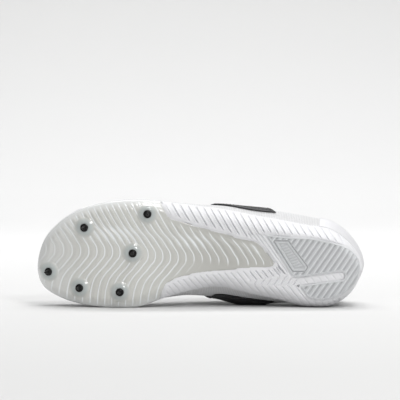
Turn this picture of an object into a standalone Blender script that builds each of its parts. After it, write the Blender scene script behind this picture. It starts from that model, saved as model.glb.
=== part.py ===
"""A left track spike shoe, lying on its medial side with the sole edge and the upper on the floor.

The shoe is modelled in its own frame: x from heel to toe, y towards the lateral side, z up from the
ground it would stand on. An empty then lays it down, with the sole facing world -Y and the toe at -X.
"""

import math

import bmesh
import bpy
import numpy as np
from mathutils import Matrix, Vector
from mathutils.geometry import delaunay_2d_cdt

# Driving sizes, in metres
LENGTH = 0.284
BALL_WIDTH = 0.0944
HEEL_STACK = 0.018
TOE_SPRING = 0.022
COLLAR_HEIGHT = 0.078
WALL = 0.0018
OVERLAY = 0.0008
GAP = 0.0003
PLATE = 0.002
RUBBER = 0.0026
INSOLE = 0.003
TONGUE = 0.003
LACE = 0.0026
SPIKE_LENGTH = 0.006
SPIKE_FLANGE = 0.007
SPIKE_SIDES = 9
BOSS_DIAMETER = 0.0185
BOSS_HEIGHT = 0.003
BOSS_FLAT = 0.0044
BOSS_SIDES = 12
PRESSED = 0.0005

# Plan of the sole: along is a share of LENGTH, lateral and medial are shares of BALL_WIDTH
HEEL_TIP = -0.111
TOE_TIP = -0.166
PLAN = (
    # along, lateral, medial
    (0.010, -0.010, -0.203),
    (0.040, 0.111, -0.351),
    (0.101, 0.239, -0.466),
    (0.172, 0.276, -0.474),
    (0.258, 0.323, -0.412),
    (0.346, 0.369, -0.358),
    (0.439, 0.419, -0.296),
    (0.530, 0.452, -0.333),
    (0.613, 0.484, -0.406),
    (0.684, 0.503, -0.482),
    (0.745, 0.494, -0.497),
    (0.807, 0.462, -0.489),
    (0.868, 0.397, -0.466),
    (0.929, 0.276, -0.415),
    (0.981, 0.092, -0.323),
)

# Side view of the sole: ground is a share of TOE_SPRING, the rest are shares of HEEL_STACK.
# stack is ground line to footbed, rise is how far the underside climbs at the edge, and inset is the
# width of that climbing side in plan.
PROFILE = (
    # along, ground, stack, rise, inset
    (0.000, 0.160, 0.92, 0.62, 0.30),
    (0.060, 0.000, 0.98, 0.72, 0.50),
    (0.180, 0.000, 1.00, 0.70, 0.60),
    (0.320, 0.060, 0.92, 0.60, 0.66),
    (0.460, 0.130, 0.78, 0.46, 0.66),
    (0.600, 0.060, 0.62, 0.32, 0.60),
    (0.700, 0.000, 0.53, 0.26, 0.56),
    (0.800, 0.110, 0.52, 0.24, 0.52),
    (0.900, 0.450, 0.50, 0.22, 0.46),
    (1.000, 1.000, 0.50, 0.20, 0.40),
)

# Rear edge of the plate, from the lateral edge of the sole round its tail to the medial edge
PLATE_REAR = (
    # along (share of LENGTH), across (share of BALL_WIDTH)
    (0.614, 0.433),
    (0.605, 0.388),
    (0.592, 0.343),
    (0.562, 0.313),
    (0.500, 0.258),
    (0.439, 0.212),
    (0.378, 0.161),
    (0.322, 0.116),
    (0.300, 0.040),
    (0.274, -0.078),
    (0.282, -0.096),
    (0.347, -0.111),
    (0.408, -0.129),
    (0.470, -0.147),
    (0.531, -0.180),
    (0.570, -0.212),
    (0.600, -0.262),
    (0.612, -0.335),
)
PLATE_CORNER = 0.6215

# Heel rubber, from its front lateral corner back round the heel to its lower front corner
HEEL_RUBBER = (
    # along (share of LENGTH), across (share of BALL_WIDTH)
    (0.299, 0.198),
    (0.223, 0.177),
    (0.167, 0.172),
    (0.131, 0.153),
    (0.096, 0.133),
    (0.049, 0.082),
    (0.026, 0.022),
    (0.014, -0.040),
    (0.014, -0.120),
    (0.024, -0.230),
    (0.054, -0.318),
    (0.096, -0.376),
    (0.131, -0.391),
    (0.167, -0.374),
    (0.179, -0.330),
    (0.193, -0.272),
)
SLOT_MOUTH = (0.203, -0.228)
SLOT_END = (0.072, -0.170)
SLOT_WIDTH = 0.0075
RUBBER_NOSE = (0.218, -0.180)

# Spike places: along is a share of LENGTH, across is a share of BALL_WIDTH
SPIKES = (
    # along, across
    (0.6605, 0.379),
    (0.852, 0.243),
    (0.704, 0.019),
    (0.963, -0.179),
    (0.866, -0.313),
    (0.742, -0.339),
)

# Rib fields of the underside. angle turns from the toe direction towards lateral, pitch and start are
# along the sole, and width and depth are those of one groove.
FIELDS = {
    # name: angle in degrees, pitch, start, width, depth
    "lateral": (58, 0.00575, 0.0049, 0.0016, 0.0011),
    "medial": (50, 0.0058, 0.0, 0.0016, 0.0009),
    "rubber": (-56, 0.0054, 0.0, 0.0016, 0.0010),
}
RIB_STEP = 0.0080
RIB_FADE = 0.0012
FOAM_PROUD = 0.0010
RUBBER_PROUD = 0.0018
BORDER = 0.0028

# Seats of the plate and the rubber in the foam: how deep past the piece, and where the step falls
SEAT_GAP = 0.0009
SEAT_FLOOR = 0.00035
SEAT_SPLIT = 0.0005
SEAT_TOP = 0.00065

# How finely the curved sides, the flat middle and the footbed are divided
HULL_ROUNDS = (
    # inset as a share of HEEL_STACK, points round the sole
    (0.13, 86),
    (0.30, 74),
    (0.54, 62),
)
HULL_GRID = 0.0125
HULL_MARGIN = 0.0016
FOOTBED_GRID = 0.0140
FOOTBED_MARGIN = 0.0080
EDGE_POINTS = 130
INSOLE_POINTS = 70

# Upper, round the sole from the heel tip by the lateral side to the toe and back: ring is the share
# of the way round. belly is where the wall swells most, out from the feather line and up from it.
# shoulder is a share of the plan way from feather to opening, and its height. The opening is given by
# its place along, its distance from the instep line and its height. All lengths are in millimetres of
# a shoe 284 mm long.
DRAWN_MM = LENGTH / 284
UPPER = (
    # ring, belly_out, belly_up, shoulder, shoulder_height, along, across, height
    (0.000, 2.5, 16, 0.30, 58, 8, 0, 78),
    (0.054, 6.0, 14, 0.30, 54, 18, 18, 74),
    (0.118, 7.5, 14, 0.40, 48, 54, 28, 60),
    (0.163, 6.0, 14, 0.35, 50, 80, 27, 66),
    (0.203, 3.5, 14, 0.40, 58, 102, 20, 84),
    (0.240, 1.6, 13, 0.42, 59, 124, 16, 78),
    (0.307, 0.3, 12, 0.42, 52, 158, 13, 67),
    (0.371, 0.0, 11, 0.36, 44, 184, 10, 57),
    (0.428, 0.0, 10, 0.32, 45, 198, 6, 52),
    (0.503, 0.0, 8, 0.30, 49, 204, 0, 50),
    (0.603, 0.0, 10, 0.32, 46, 198, -6, 52),
    (0.673, 0.5, 12, 0.38, 49, 180, -10, 59),
    (0.729, 6.0, 14, 0.42, 58, 154, -13, 69),
    (0.767, 12.0, 17, 0.44, 63, 128, -16, 77),
    (0.807, 14.5, 19, 0.42, 61, 102, -20, 84),
    (0.848, 10.0, 19, 0.36, 52, 80, -26, 66),
    (0.885, 2.5, 16, 0.35, 50, 54, -27, 60),
    (0.946, 0.5, 14, 0.30, 55, 18, -18, 74),
)
INSTEP = (
    # along, across, in millimetres of the drawn shoe
    (0, -10.5),
    (60, -10),
    (110, -7),
    (160, -4),
    (210, -4),
)
FEATHER_INSET = 0.0010
COLLAR_AS_DRAWN = 0.078

# Overlays on the upper, in points of its ring (0 at the heel tip) and rows of its wall (0 at the sole).
# lean moves the ends round the ring from the low row to the high one, and bow lowers the middle of the
# low border, in rows.
RING_POINTS = 84
WALL_ROWS = 11
OVERLAYS = {
    # name: ring_from, ring_to, low, high, lean, bow, steps, rows
    "side_panel_lateral": (12, 19, 2, 7, 4, 0.6, 14, 7),
    "side_panel_medial": (65, 72, 2, 7, -4, 0.6, 14, 7),
    "heel_counter": (-7, 7, 0, 4, 0, 0, 14, 4),
    "toe_cap": (34, 50, 0, 3, 0, 0, 16, 3),
    "eyestay": (17, 67, 8, 10, 0, 0, 50, 2),
}
OVERLAY_HEM = 0.25
SLANTED_GAP = 0.0011

TONGUE_ROWS = (
    # along, height at the middle, half width, drop at the sides, in millimetres of the drawn shoe
    (88, 99, 17, 3),
    (95, 91, 17.5, 3.5),
    (104, 82.5, 16.5, 4),
    (124, 75.5, 15, 4.5),
    (145, 68.5, 13.5, 4),
    (165, 60.5, 12, 4),
    (182, 53, 11, 4),
    (198, 46, 8, 3),
    (212, 41.5, 7, 3),
)

# Laces: rows, the rings of their first and last eyelets on each side, and the eyelets' row of the wall
LACE_ROWS = 6
LACE_RINGS = ((18, 27.5), (66, 58))
LACE_ON_WALL = 9
LACE_ARCH = 0.0016
LACE_CLEAR = 0.0020
LACE_TURN = 0.35

MATERIALS = {
    # name: colour, roughness, transmission
    "plate": ((0.72, 0.73, 0.70), 0.18, 0.35),
    "spike": ((0.02, 0.02, 0.02), 0.35, 0.0),
    "foam": ((0.86, 0.86, 0.88), 0.55, 0.0),
    "rubber": ((0.45, 0.46, 0.48), 0.60, 0.0),
    "mesh": ((0.80, 0.80, 0.82), 0.85, 0.0),
    "panel": ((0.02, 0.02, 0.02), 0.55, 0.0),
    "trim": ((0.82, 0.82, 0.84), 0.50, 0.0),
    "lining": ((0.10, 0.10, 0.11), 0.90, 0.0),
    "lace": ((0.85, 0.85, 0.86), 0.80, 0.0),
}


def clear_scene():
    for thing in list(bpy.data.objects):
        bpy.data.objects.remove(thing, do_unlink=True)


def curve_through(xs, ys, x):
    """A smooth curve through the rows (xs, ys), read at x."""
    xs = np.asarray(xs, float)
    ys = np.asarray(ys, float)
    slopes = np.gradient(ys, xs)
    i = np.clip(np.searchsorted(xs, x, side="right") - 1, 0, len(xs) - 2)
    step = xs[i + 1] - xs[i]
    t = (np.clip(x, xs[0], xs[-1]) - xs[i]) / step
    rise = (3 - 2 * t) * t * t
    lead = t * (1 - t) ** 2 * slopes[i] - t * t * (1 - t) * slopes[i + 1]
    return ys[i] + rise * (ys[i + 1] - ys[i]) + step * lead


def closed_curve(points, per_span=10):
    """A smooth closed line through the points, as a dense polyline."""
    points = np.asarray(points, float)
    before = np.roll(points, 1, axis=0)
    after = np.roll(points, -1, axis=0)
    later = np.roll(points, -2, axis=0)
    spans = []
    for a, b, c, d in zip(before, points, after, later):
        knots = np.cumsum([0] + [max(np.linalg.norm(q - p), 1e-9) ** 0.5 for p, q in ((a, b), (b, c), (c, d))])
        t = np.linspace(knots[1], knots[2], per_span, endpoint=False)[:, None]
        ab = (a * (knots[1] - t) + b * t) / knots[1]
        bc = (b * (knots[2] - t) + c * (t - knots[1])) / (knots[2] - knots[1])
        cd = (c * (knots[3] - t) + d * (t - knots[2])) / (knots[3] - knots[2])
        abc = (ab * (knots[2] - t) + bc * t) / knots[2]
        bcd = (bc * (knots[3] - t) + cd * (t - knots[1])) / (knots[3] - knots[1])
        spans.append((abc * (knots[2] - t) + bcd * (t - knots[1])) / (knots[2] - knots[1]))
    return np.concatenate(spans)


def spread(line, shares, closed=False):
    """Points of a polyline at the given shares of its length."""
    if closed:
        line = np.concatenate([line, line[:1]])
    way = np.concatenate([[0], np.cumsum(np.linalg.norm(np.diff(line, axis=0), axis=1))])
    return np.stack([np.interp(np.asarray(shares) * way[-1], way, column) for column in line.T], axis=1)


def plan_curve():
    """The sole's edge in plan, dense, from the heel tip by the lateral side to the toe and back."""
    lateral = [(along * LENGTH, side * BALL_WIDTH) for along, side, _ in PLAN]
    medial = [(along * LENGTH, side * BALL_WIDTH) for along, _, side in reversed(PLAN)]
    heel = [(0, HEEL_TIP * BALL_WIDTH)]
    toe = [(LENGTH, TOE_TIP * BALL_WIDTH)]
    return closed_curve(heel + lateral + toe + medial)


EDGE = plan_curve()


def distance_to(points, line):
    """Distance in plan from each point to a closed polyline."""
    a = line
    along = np.roll(line, -1, axis=0) - a
    apart = points[:, None, :] - a
    t = np.clip((apart * along).sum(2) / (along * along).sum(1), 0, 1)
    return np.linalg.norm(apart - t[..., None] * along, axis=2).min(1)


def within(points, line):
    """Whether each point lies inside a closed polyline."""
    a = line
    b = np.roll(line, -1, axis=0)
    x, y = points[:, :1], points[:, 1:]
    crosses = (a[:, 1] > y) != (b[:, 1] > y)
    height = np.where(b[:, 1] == a[:, 1], 1, b[:, 1] - a[:, 1])
    reach = a[:, 0] + (y - a[:, 1]) / height * (b[:, 0] - a[:, 0])
    return ((crosses & (x < reach)).sum(1) % 2) == 1


def inset(line, by, count):
    """The closed polyline moved inwards, with evenly spread points."""
    even = spread(line, np.arange(count) / count, closed=True)
    ahead = np.roll(even, -1, axis=0) - np.roll(even, 1, axis=0)
    inward = np.stack([ahead[:, 1], -ahead[:, 0]], axis=1)
    inward /= np.linalg.norm(inward, axis=1)[:, None]
    return even + inward * by


def profile(column, x):
    """A column of PROFILE at the distances x from the heel, in metres."""
    sizes = {"ground": TOE_SPRING, "stack": HEEL_STACK, "rise": HEEL_STACK, "inset": HEEL_STACK}
    place = ("along", "ground", "stack", "rise", "inset").index(column)
    rows = [row[place] for row in PROFILE]
    return curve_through([row[0] * LENGTH for row in PROFILE], rows, x) * sizes[column]


def under(points):
    """Height of the plain underside: the ground line, climbing at the sides like a hull."""
    x = points[:, 0]
    side = 1 - np.clip(distance_to(points, EDGE) / profile("inset", x), 0, 1)
    return profile("ground", x) + profile("rise", x) * side**2


def footbed(points):
    return profile("ground", points[:, 0]) + profile("stack", points[:, 0])


def edge_at(x, side):
    """The point of the sole's edge at the distance x from the heel, lateral (+1) or medial (-1)."""
    middle = len(EDGE) * (len(PLAN) + 1) // (2 * len(PLAN) + 2)
    half = EDGE[: middle + 1] if side > 0 else np.concatenate([EDGE[middle:], EDGE[:1]])[::-1]
    return np.array([x, np.interp(x, half[:, 0], half[:, 1])])


def open_curve(rows):
    """A smooth open line through rows of shares of LENGTH and BALL_WIDTH."""
    points = np.array([(along * LENGTH, across * BALL_WIDTH) for along, across in rows])
    turned = np.concatenate([points, points[::-1][1:-1]])
    return np.concatenate([closed_curve(turned, 4)[: 4 * (len(points) - 1)], points[-1:]])


def plate_rear(out=0.0):
    """The rear edge of the plate, moved outwards, from the lateral to the medial edge of the sole."""
    line = open_curve(PLATE_REAR)
    ahead = np.gradient(line, axis=0)
    away = np.stack([ahead[:, 1], -ahead[:, 0]], axis=1)
    away /= np.linalg.norm(away, axis=1)[:, None]
    corner = PLATE_CORNER * LENGTH - out
    return np.concatenate([[edge_at(corner, 1)], line + away * out, [edge_at(corner, -1)]])


def plate_outline():
    """The closed outline of the plate: its rear edge, then the edge of the sole round the toe."""
    rear = plate_rear()
    lateral, medial = rear[0], rear[-1]
    front = spread(EDGE, np.arange(140) / 140, closed=True)
    front = front[front[:, 0] > PLATE_CORNER * LENGTH + 0.001]
    return np.concatenate([[lateral], front, [medial], rear[1:-1][::-1]])


def slot_outline():
    """The open slot of the heel rubber, from its upper mouth corner round its end to the lower one."""
    mouth = np.array(SLOT_MOUTH) * (LENGTH, BALL_WIDTH)
    end = np.array(SLOT_END) * (LENGTH, BALL_WIDTH)
    along = (end - mouth) / np.linalg.norm(end - mouth)
    side = np.array([-along[1], along[0]])
    half = SLOT_WIDTH / 2
    turns = np.linspace(-math.pi / 2, math.pi / 2, 9)
    arc = [end + half * (math.cos(turn) * along + math.sin(turn) * side) for turn in turns]
    return np.array([mouth - side * half] + arc + [mouth + side * half])


def rubber_outline():
    rim = open_curve(HEEL_RUBBER)
    nose = [np.array(RUBBER_NOSE) * (LENGTH, BALL_WIDTH)]
    slot = slot_outline()
    if np.linalg.norm(slot[0] - rim[-1]) > np.linalg.norm(slot[-1] - rim[-1]):
        slot = slot[::-1]
    return np.concatenate([rim, slot, nose])


def moved_out(line, by):
    """A closed polyline moved away from its inside."""
    ahead = np.roll(line, -1, axis=0) - np.roll(line, 1, axis=0)
    away = np.stack([-ahead[:, 1], ahead[:, 0]], axis=1)
    away /= np.linalg.norm(away, axis=1)[:, None]
    turn = (np.roll(line, -1, axis=0) * line[:, ::-1] * (-1, 1)).sum()
    return line + away * by * (1 if turn > 0 else -1)


def signed(points, outline):
    """Distance to an outline, negative inside it."""
    return np.where(within(points, outline), -1, 1) * distance_to(points, outline)


def rib_lines(field, keep):
    """The middle and both shoulders of each groove of a field, where keep is positive."""
    angle, pitch, start, width, _ = FIELDS[field]
    slope = 1 / math.tan(math.radians(angle))
    shoulder = width / 2 / abs(math.sin(math.radians(angle)))
    across = np.arange(-0.6 * BALL_WIDTH, 0.6 * BALL_WIDTH, RIB_STEP)
    lines = []
    for k in range(-20, int(LENGTH / pitch) + 20):
        for aside in (-shoulder, 0, shoulder):
            points = np.stack([start + k * pitch + aside + across * slope, across], axis=1)
            kept = keep(points) > 0
            for run in np.split(points, np.flatnonzero(np.diff(kept)) + 1):
                if len(run) > 1 and keep(run[:1])[0] > 0:
                    lines.append(run)
    return lines


def groove(field, points, keep):
    """Depth of a field's grooves at the points, fading out where keep falls to zero."""
    angle, pitch, start, width, depth = FIELDS[field]
    place = points[:, 0] - points[:, 1] / math.tan(math.radians(angle)) - start
    off = np.abs(place - np.round(place / pitch) * pitch) * abs(math.sin(math.radians(angle)))
    return depth * np.clip(1 - off / (width / 2), 0, 1) * np.clip(keep(points) / RIB_FADE, 0, 1)


def hull_points(outline):
    """Points that follow the climbing sides of the sole, then a grid, inside an outline."""
    rounds = [inset(EDGE, by * HEEL_STACK, count) for by, count in HULL_ROUNDS]
    middle = grid_inside(EDGE, HULL_GRID, HULL_ROUNDS[-1][0] * HEEL_STACK + 0.004)
    points = np.concatenate([*rounds, middle])
    return points[signed(points, outline) < -HULL_MARGIN]


def grid_inside(outline, step, margin):
    """Points of a plain grid that lie inside an outline by a margin."""
    low, high = outline.min(0), outline.max(0)
    xs = np.arange(low[0], high[0], step)
    ys = np.arange(low[1], high[1], step)
    points = np.stack(np.meshgrid(xs, ys), axis=2).reshape(-1, 2)
    return points[signed(points, outline) < -margin]


def triangles(outline, lines, points):
    """A plan outline filled with triangles that follow the lines and the points."""
    count = len(outline)
    places = [Vector(p) for p in outline]
    edges = [(i, (i + 1) % count) for i in range(count)]
    for line in lines:
        edges += [(len(places) + i, len(places) + i + 1) for i in range(len(line) - 1)]
        places += [Vector(p) for p in line]
    places += [Vector(p) for p in points]
    made = delaunay_2d_cdt(places, edges, [], 0, 1e-7)
    plan = np.array([tuple(p) for p in made[0]])
    faces = np.array([face for face in made[2] if len(face) == 3])
    return plan, faces[within(plan[faces].mean(1), outline)]


def sheet(name, outline, lines, points, low, high, high_points, material):
    """A closed sheet over a plan outline: low and high give the heights of its two sides."""
    plan, faces = triangles(outline, lines, points)
    roof, roof_faces = triangles(outline, [], high_points)
    corners = np.concatenate([np.c_[plan, low(plan)], np.c_[roof, high(roof)]])
    rim_low = [int(np.abs(plan - p).sum(1).argmin()) for p in outline]
    rim_high = [int(np.abs(roof - p).sum(1).argmin()) + len(plan) for p in outline]
    skin = [oriented(plan, face, False) for face in faces]
    skin += [[i + len(plan) for i in oriented(roof, face, True)] for face in roof_faces]
    for i in range(len(outline)):
        j = (i + 1) % len(outline)
        skin.append([rim_low[i], rim_low[j], rim_high[j], rim_high[i]])
    return solid(name, corners, skin, material)


def oriented(plan, face, up):
    a, b, c = (plan[i] for i in face)
    turn = (b[0] - a[0]) * (c[1] - a[1]) - (b[1] - a[1]) * (c[0] - a[0])
    return list(face) if (turn > 0) == up else list(face)[::-1]


def solid(name, corners, faces, material):
    """A named mesh object, its faces turned outwards."""
    mesh = bpy.data.meshes.new(name)
    mesh.from_pydata([tuple(map(float, p)) for p in corners], [], [tuple(map(int, f)) for f in faces])
    work = bmesh.new()
    work.from_mesh(mesh)
    bmesh.ops.recalc_face_normals(work, faces=work.faces)
    if work.calc_volume(signed=True) < 0:
        bmesh.ops.reverse_faces(work, faces=work.faces)
    bmesh.ops.triangulate(work, faces=[face for face in work.faces if len(face.verts) > 3])
    work.to_mesh(mesh)
    work.free()
    thing = bpy.data.objects.new(name, mesh)
    SHOE.objects.link(thing)
    finish(thing, material)
    return thing


def finish(thing, material):
    thing.data.materials.append(bpy.data.materials[material])
    thing.data.shade_smooth()
    thing.data.set_sharp_from_angle(angle=math.radians(35))


def make_materials():
    for name, (colour, roughness, transmission) in MATERIALS.items():
        material = bpy.data.materials.new(name)
        material.use_nodes = True
        shader = material.node_tree.nodes["Principled BSDF"]
        shader.inputs["Base Color"].default_value = (*colour, 1)
        shader.inputs["Roughness"].default_value = roughness
        shader.inputs["Metallic"].default_value = 0.8 if name == "spike" else 0.0
        shader.inputs["Transmission Weight"].default_value = transmission


PLATE_EDGE = plate_outline()
RUBBER_EDGE = rubber_outline()


def lateral_field(points):
    """Positive on the lateral ribbed side of the foam, between its smooth border and its edge."""
    clear = np.minimum(signed(points, PLATE_EDGE) - BORDER, signed(points, RUBBER_EDGE) - BORDER * 0.6)
    clear = np.minimum(clear, -signed(points, EDGE) - 0.0006)
    return np.minimum(clear, points[:, 1] + 0.19 * BALL_WIDTH)


def medial_field(points):
    """Positive on the medial ribbed side of the foam and in the slot of the rubber."""
    clear = np.minimum(signed(points, PLATE_EDGE) - BORDER * 0.6, signed(points, RUBBER_EDGE) - 0.0008)
    clear = np.minimum(clear, -signed(points, EDGE) - 0.0006)
    return np.minimum(clear, -points[:, 1] - 0.20 * BALL_WIDTH)


def rubber_field(points):
    return -signed(points, RUBBER_EDGE) - 0.0014


def foam_under(points):
    """Underside of the foam: proud and ribbed, with seats for the plate and the rubber."""
    to_plate = signed(points, PLATE_EDGE)
    to_rubber = signed(points, RUBBER_EDGE)
    ribs = groove("lateral", points, lateral_field) + groove("medial", points, medial_field)
    proud = FOAM_PROUD * np.clip(-signed(points, EDGE) / 0.004, 0, 1)
    level = ribs - proud
    level = np.where(to_rubber < SEAT_SPLIT, RUBBER - RUBBER_PROUD + SEAT_GAP, level)
    level = np.where(to_plate < SEAT_SPLIT, PLATE + SEAT_GAP, level)
    return under(points) + level


def make_midsole():
    shares = np.arange(EDGE_POINTS) / EDGE_POINTS
    even = spread(EDGE, shares, closed=True)
    corners = [edge_at(PLATE_CORNER * LENGTH - out, side) for out in (SEAT_FLOOR, SEAT_TOP) for side in (1, -1)]
    near = np.array([np.linalg.norm(even - corner, axis=1) for corner in corners]).min(0)
    even = even[near > 0.0012]
    outline = in_order(np.concatenate([even, corners]))
    lines = [plate_rear(SEAT_FLOOR), plate_rear(SEAT_TOP)]
    for out in (SEAT_FLOOR, SEAT_TOP):
        seat = moved_out(RUBBER_EDGE, out)
        lines.append(np.concatenate([seat, seat[:1]]))
    lines += rib_lines("lateral", lateral_field) + rib_lines("medial", medial_field)
    points = hull_points(EDGE)
    clear = np.minimum(np.abs(signed(points, PLATE_EDGE)), np.abs(signed(points, RUBBER_EDGE)))
    points = points[clear > HULL_MARGIN]
    top = grid_inside(EDGE, FOOTBED_GRID, FOOTBED_MARGIN)
    return sheet("midsole", outline, lines, points, foam_under, footbed, top, "foam")


def in_order(points):
    """Points of the sole's edge put in their order round it."""
    place = [int(np.linalg.norm(EDGE_FINE - p, axis=1).argmin()) for p in points]
    return points[np.argsort(place, kind="stable")]


EDGE_FINE = spread(EDGE, np.arange(6000) / 6000, closed=True)


def tangent(centre):
    """Height and slopes of the underside at a point in plan."""
    step = 0.0015
    x, y = centre
    around = under(np.array([(x, y), (x - step, y), (x + step, y), (x, y - step), (x, y + step)]))
    return around[0], (around[2] - around[1]) / (2 * step), (around[4] - around[3]) / (2 * step)


def spike_centres():
    return np.array([(along * LENGTH, across * BALL_WIDTH) for along, across in SPIKES])


def plate_under(points):
    """Underside of the plate, with a round boss under each spike."""
    height = under(points)
    for centre in spike_centres():
        level, along, across = tangent(centre)
        away = points - centre
        radius = np.linalg.norm(away, axis=1)
        lift = np.clip((BOSS_DIAMETER / 2 - radius) / (BOSS_DIAMETER / 2 - BOSS_FLAT), 0, 1)
        lift = np.sin(lift * math.pi / 2) ** 1.2
        top = level + away @ (along, across) - BOSS_HEIGHT
        height = height * (1 - lift) + top * lift
    return height


def plate_above(points):
    return under(points) + PLATE


def make_plate():
    rings = []
    for centre in spike_centres():
        for radius in (BOSS_DIAMETER / 2, BOSS_DIAMETER * 0.42, BOSS_DIAMETER * 0.33, BOSS_FLAT):
            turns = np.linspace(0, 2 * math.pi, BOSS_SIDES + 1)
            rings.append(centre + radius * np.stack([np.cos(turns), np.sin(turns)], axis=1))
    above = hull_points(PLATE_EDGE)
    away = np.linalg.norm(above[:, None] - spike_centres()[None], axis=2).min(1)
    points = np.concatenate([above[away > BOSS_DIAMETER * 0.56], spike_centres()])
    return sheet("spike_plate", PLATE_EDGE, rings, points, plate_under, plate_above, above, "plate")


def rubber_under(points):
    return under(points) - RUBBER_PROUD + groove("rubber", points, rubber_field)


def rubber_above(points):
    return under(points) + RUBBER - RUBBER_PROUD


def make_rubber():
    lines = rib_lines("rubber", rubber_field)
    none = np.empty((0, 2))
    above = hull_points(RUBBER_EDGE)
    return sheet("heel_outsole", RUBBER_EDGE, lines, none, rubber_under, rubber_above, above, "rubber")


def make_spikes():
    half = SPIKE_FLANGE / 2
    outline = (
        (0, 0),
        (half, 0),
        (half, -0.0009),
        (half * 0.75, -0.0013),
        (half * 0.52, -0.0014),
        (half * 0.16, -0.0014 - SPIKE_LENGTH * 0.93),
        (0, -0.0014 - SPIKE_LENGTH),
    )
    mesh = bpy.data.meshes.new("spike")
    mesh.from_pydata([(x, 0, z) for x, z in outline], [(i, i + 1) for i in range(len(outline) - 1)], [])
    mesh.materials.append(bpy.data.materials["spike"])
    made = []
    for number, centre in enumerate(spike_centres(), 1):
        level, along, across = tangent(centre)
        normal = Vector((-along, -across, 1)).normalized()
        spike = bpy.data.objects.new(f"spike_{number}", mesh)
        SHOE.objects.link(spike)
        turn = spike.modifiers.new("turned", "SCREW")
        turn.steps = turn.render_steps = SPIKE_SIDES
        turn.use_merge_vertices = True
        turn.merge_threshold = 0.00005
        turn.use_smooth_shade = False
        spike.rotation_mode = "QUATERNION"
        spike.rotation_quaternion = Vector((0, 0, 1)).rotation_difference(normal)
        spike.location = Vector((*centre, level - BOSS_HEIGHT)) - normal * GAP
        made.append(spike)
    return made


def upper_columns(ring):
    """The row of UPPER at a share of the way round, in metres where it is a length."""
    rows = np.array(UPPER, float)
    places = np.concatenate([rows[-3:, 0] - 1, rows[:, 0], rows[:3, 0] + 1])
    around = np.concatenate([rows[-3:], rows, rows[:3]])
    units = (0, DRAWN_MM, DRAWN_MM, 1, DRAWN_MM, DRAWN_MM, DRAWN_MM, DRAWN_MM)
    return [curve_through(places, around[:, i], ring) * units[i] for i in range(1, 8)]


def instep(x):
    rows = np.array(INSTEP) * DRAWN_MM
    return curve_through(rows[:, 0], rows[:, 1], x)


FEATHER = inset(EDGE, FEATHER_INSET, 400)


def meridian(ring):
    """A line of the upper's outer face, from the feather line up to the opening."""
    foot = spread(FEATHER, [ring % 1], closed=True)[0]
    ahead = spread(FEATHER, [(ring - 0.012) % 1, (ring + 0.012) % 1], closed=True)
    out = np.array([ahead[0][1] - ahead[1][1], ahead[1][0] - ahead[0][0]])
    out /= np.linalg.norm(out)
    belly_out, belly_up, shoulder, shoulder_height, along, across, height = upper_columns(ring % 1)
    base = footbed(foot[None])[0] + GAP
    collar = COLLAR_HEIGHT / COLLAR_AS_DRAWN
    opening = np.array([along, instep(along) + across, height * collar])
    turn = foot + (opening[:2] - foot) * shoulder
    knots = [
        np.array([*foot, base]),
        np.array([*(foot + out * belly_out), base + belly_up]),
        np.array([*turn, shoulder_height * collar]),
        opening,
    ]
    before = 2 * knots[0] - knots[1] + np.array([*(out * 0.004), 0])
    after = 2 * knots[3] - knots[2]
    line = closed_curve([before, *knots, after], 12)[12 : 12 * 4]
    return np.concatenate([line, [opening]])


def wall_grid():
    """Outer points of the upper, by ring and row, and the way out from each."""
    rings = np.arange(RING_POINTS) / RING_POINTS
    rows = np.linspace(0, 1, WALL_ROWS)
    grid = np.array([spread(meridian(ring), rows) for ring in rings])
    around = np.roll(grid, -1, axis=0) - np.roll(grid, 1, axis=0)
    upwards = np.gradient(grid, axis=1)
    out = np.cross(upwards, around)
    out[:, 0, 2] = 0
    out /= np.linalg.norm(out, axis=2)[..., None]
    return grid, out


def shell(name, outer, inner, closed, material):
    """A closed wall between two like grids of points. closed joins the last ring to the first."""
    rings, rows = outer.shape[:2]
    corners = np.concatenate([outer.reshape(-1, 3), inner.reshape(-1, 3)])
    back = rings * rows
    faces = []
    for i in range(rings if closed else rings - 1):
        j = (i + 1) % rings
        for k in range(rows - 1):
            a, b, c, d = i * rows + k, j * rows + k, j * rows + k + 1, i * rows + k + 1
            faces += [[a, b, c, d], [back + d, back + c, back + b, back + a]]
        for k in (0, rows - 1):
            a, b = i * rows + k, j * rows + k
            faces.append([a, back + a, back + b, b] if k == 0 else [b, back + b, back + a, a])
    if not closed:
        for i in (0, rings - 1):
            for k in range(rows - 1):
                a, b = i * rows + k, i * rows + k + 1
                faces.append([a, b, back + b, back + a] if i == 0 else [b, a, back + a, back + b])
    return solid(name, corners, faces, material)


def on_wall(grid, ring, row):
    """A point between the points of a grid, by straight lines."""
    i, k = int(math.floor(ring)), min(int(row), WALL_ROWS - 2)
    s, t = ring - i, row - k
    a, b = grid[i % RING_POINTS], grid[(i + 1) % RING_POINTS]
    return (a[k] * (1 - s) + b[k] * s) * (1 - t) + (a[k + 1] * (1 - s) + b[k + 1] * s) * t


def make_overlay(name, grid, out, floor):
    ring_from, ring_to, low, high, lean, bow, steps, rows = OVERLAYS[name]
    face, way = [], []
    for share in np.linspace(0, 1, steps + 1):
        places = []
        border = low - bow * math.sin(math.pi * share)
        for up in np.linspace(0, 1, rows + 1):
            ring = ring_from + (ring_to - ring_from) * share + lean * up
            places.append((ring, max(border + (high - border) * up, OVERLAY_HEM)))
        face.append([on_wall(grid, *place) for place in places])
        way.append([on_wall(out, *place) for place in places])
    face = np.array(face)
    way = np.array(way)
    material = "panel" if name.startswith("side_panel") else "trim"
    off = SLANTED_GAP if lean else GAP
    outer = pressed(face + way * (off + OVERLAY), floor, 0)
    inner = pressed(face + way * off, floor, OVERLAY)
    return shell(name, outer, inner, False, material)


def pressed(points, floor, depth):
    """Points moved up out of the floor, as soft stuff is, leaving depth below them."""
    up, level = floor
    under_floor = level + depth - points @ up
    return points + np.maximum(under_floor, 0)[..., None] * up


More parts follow.
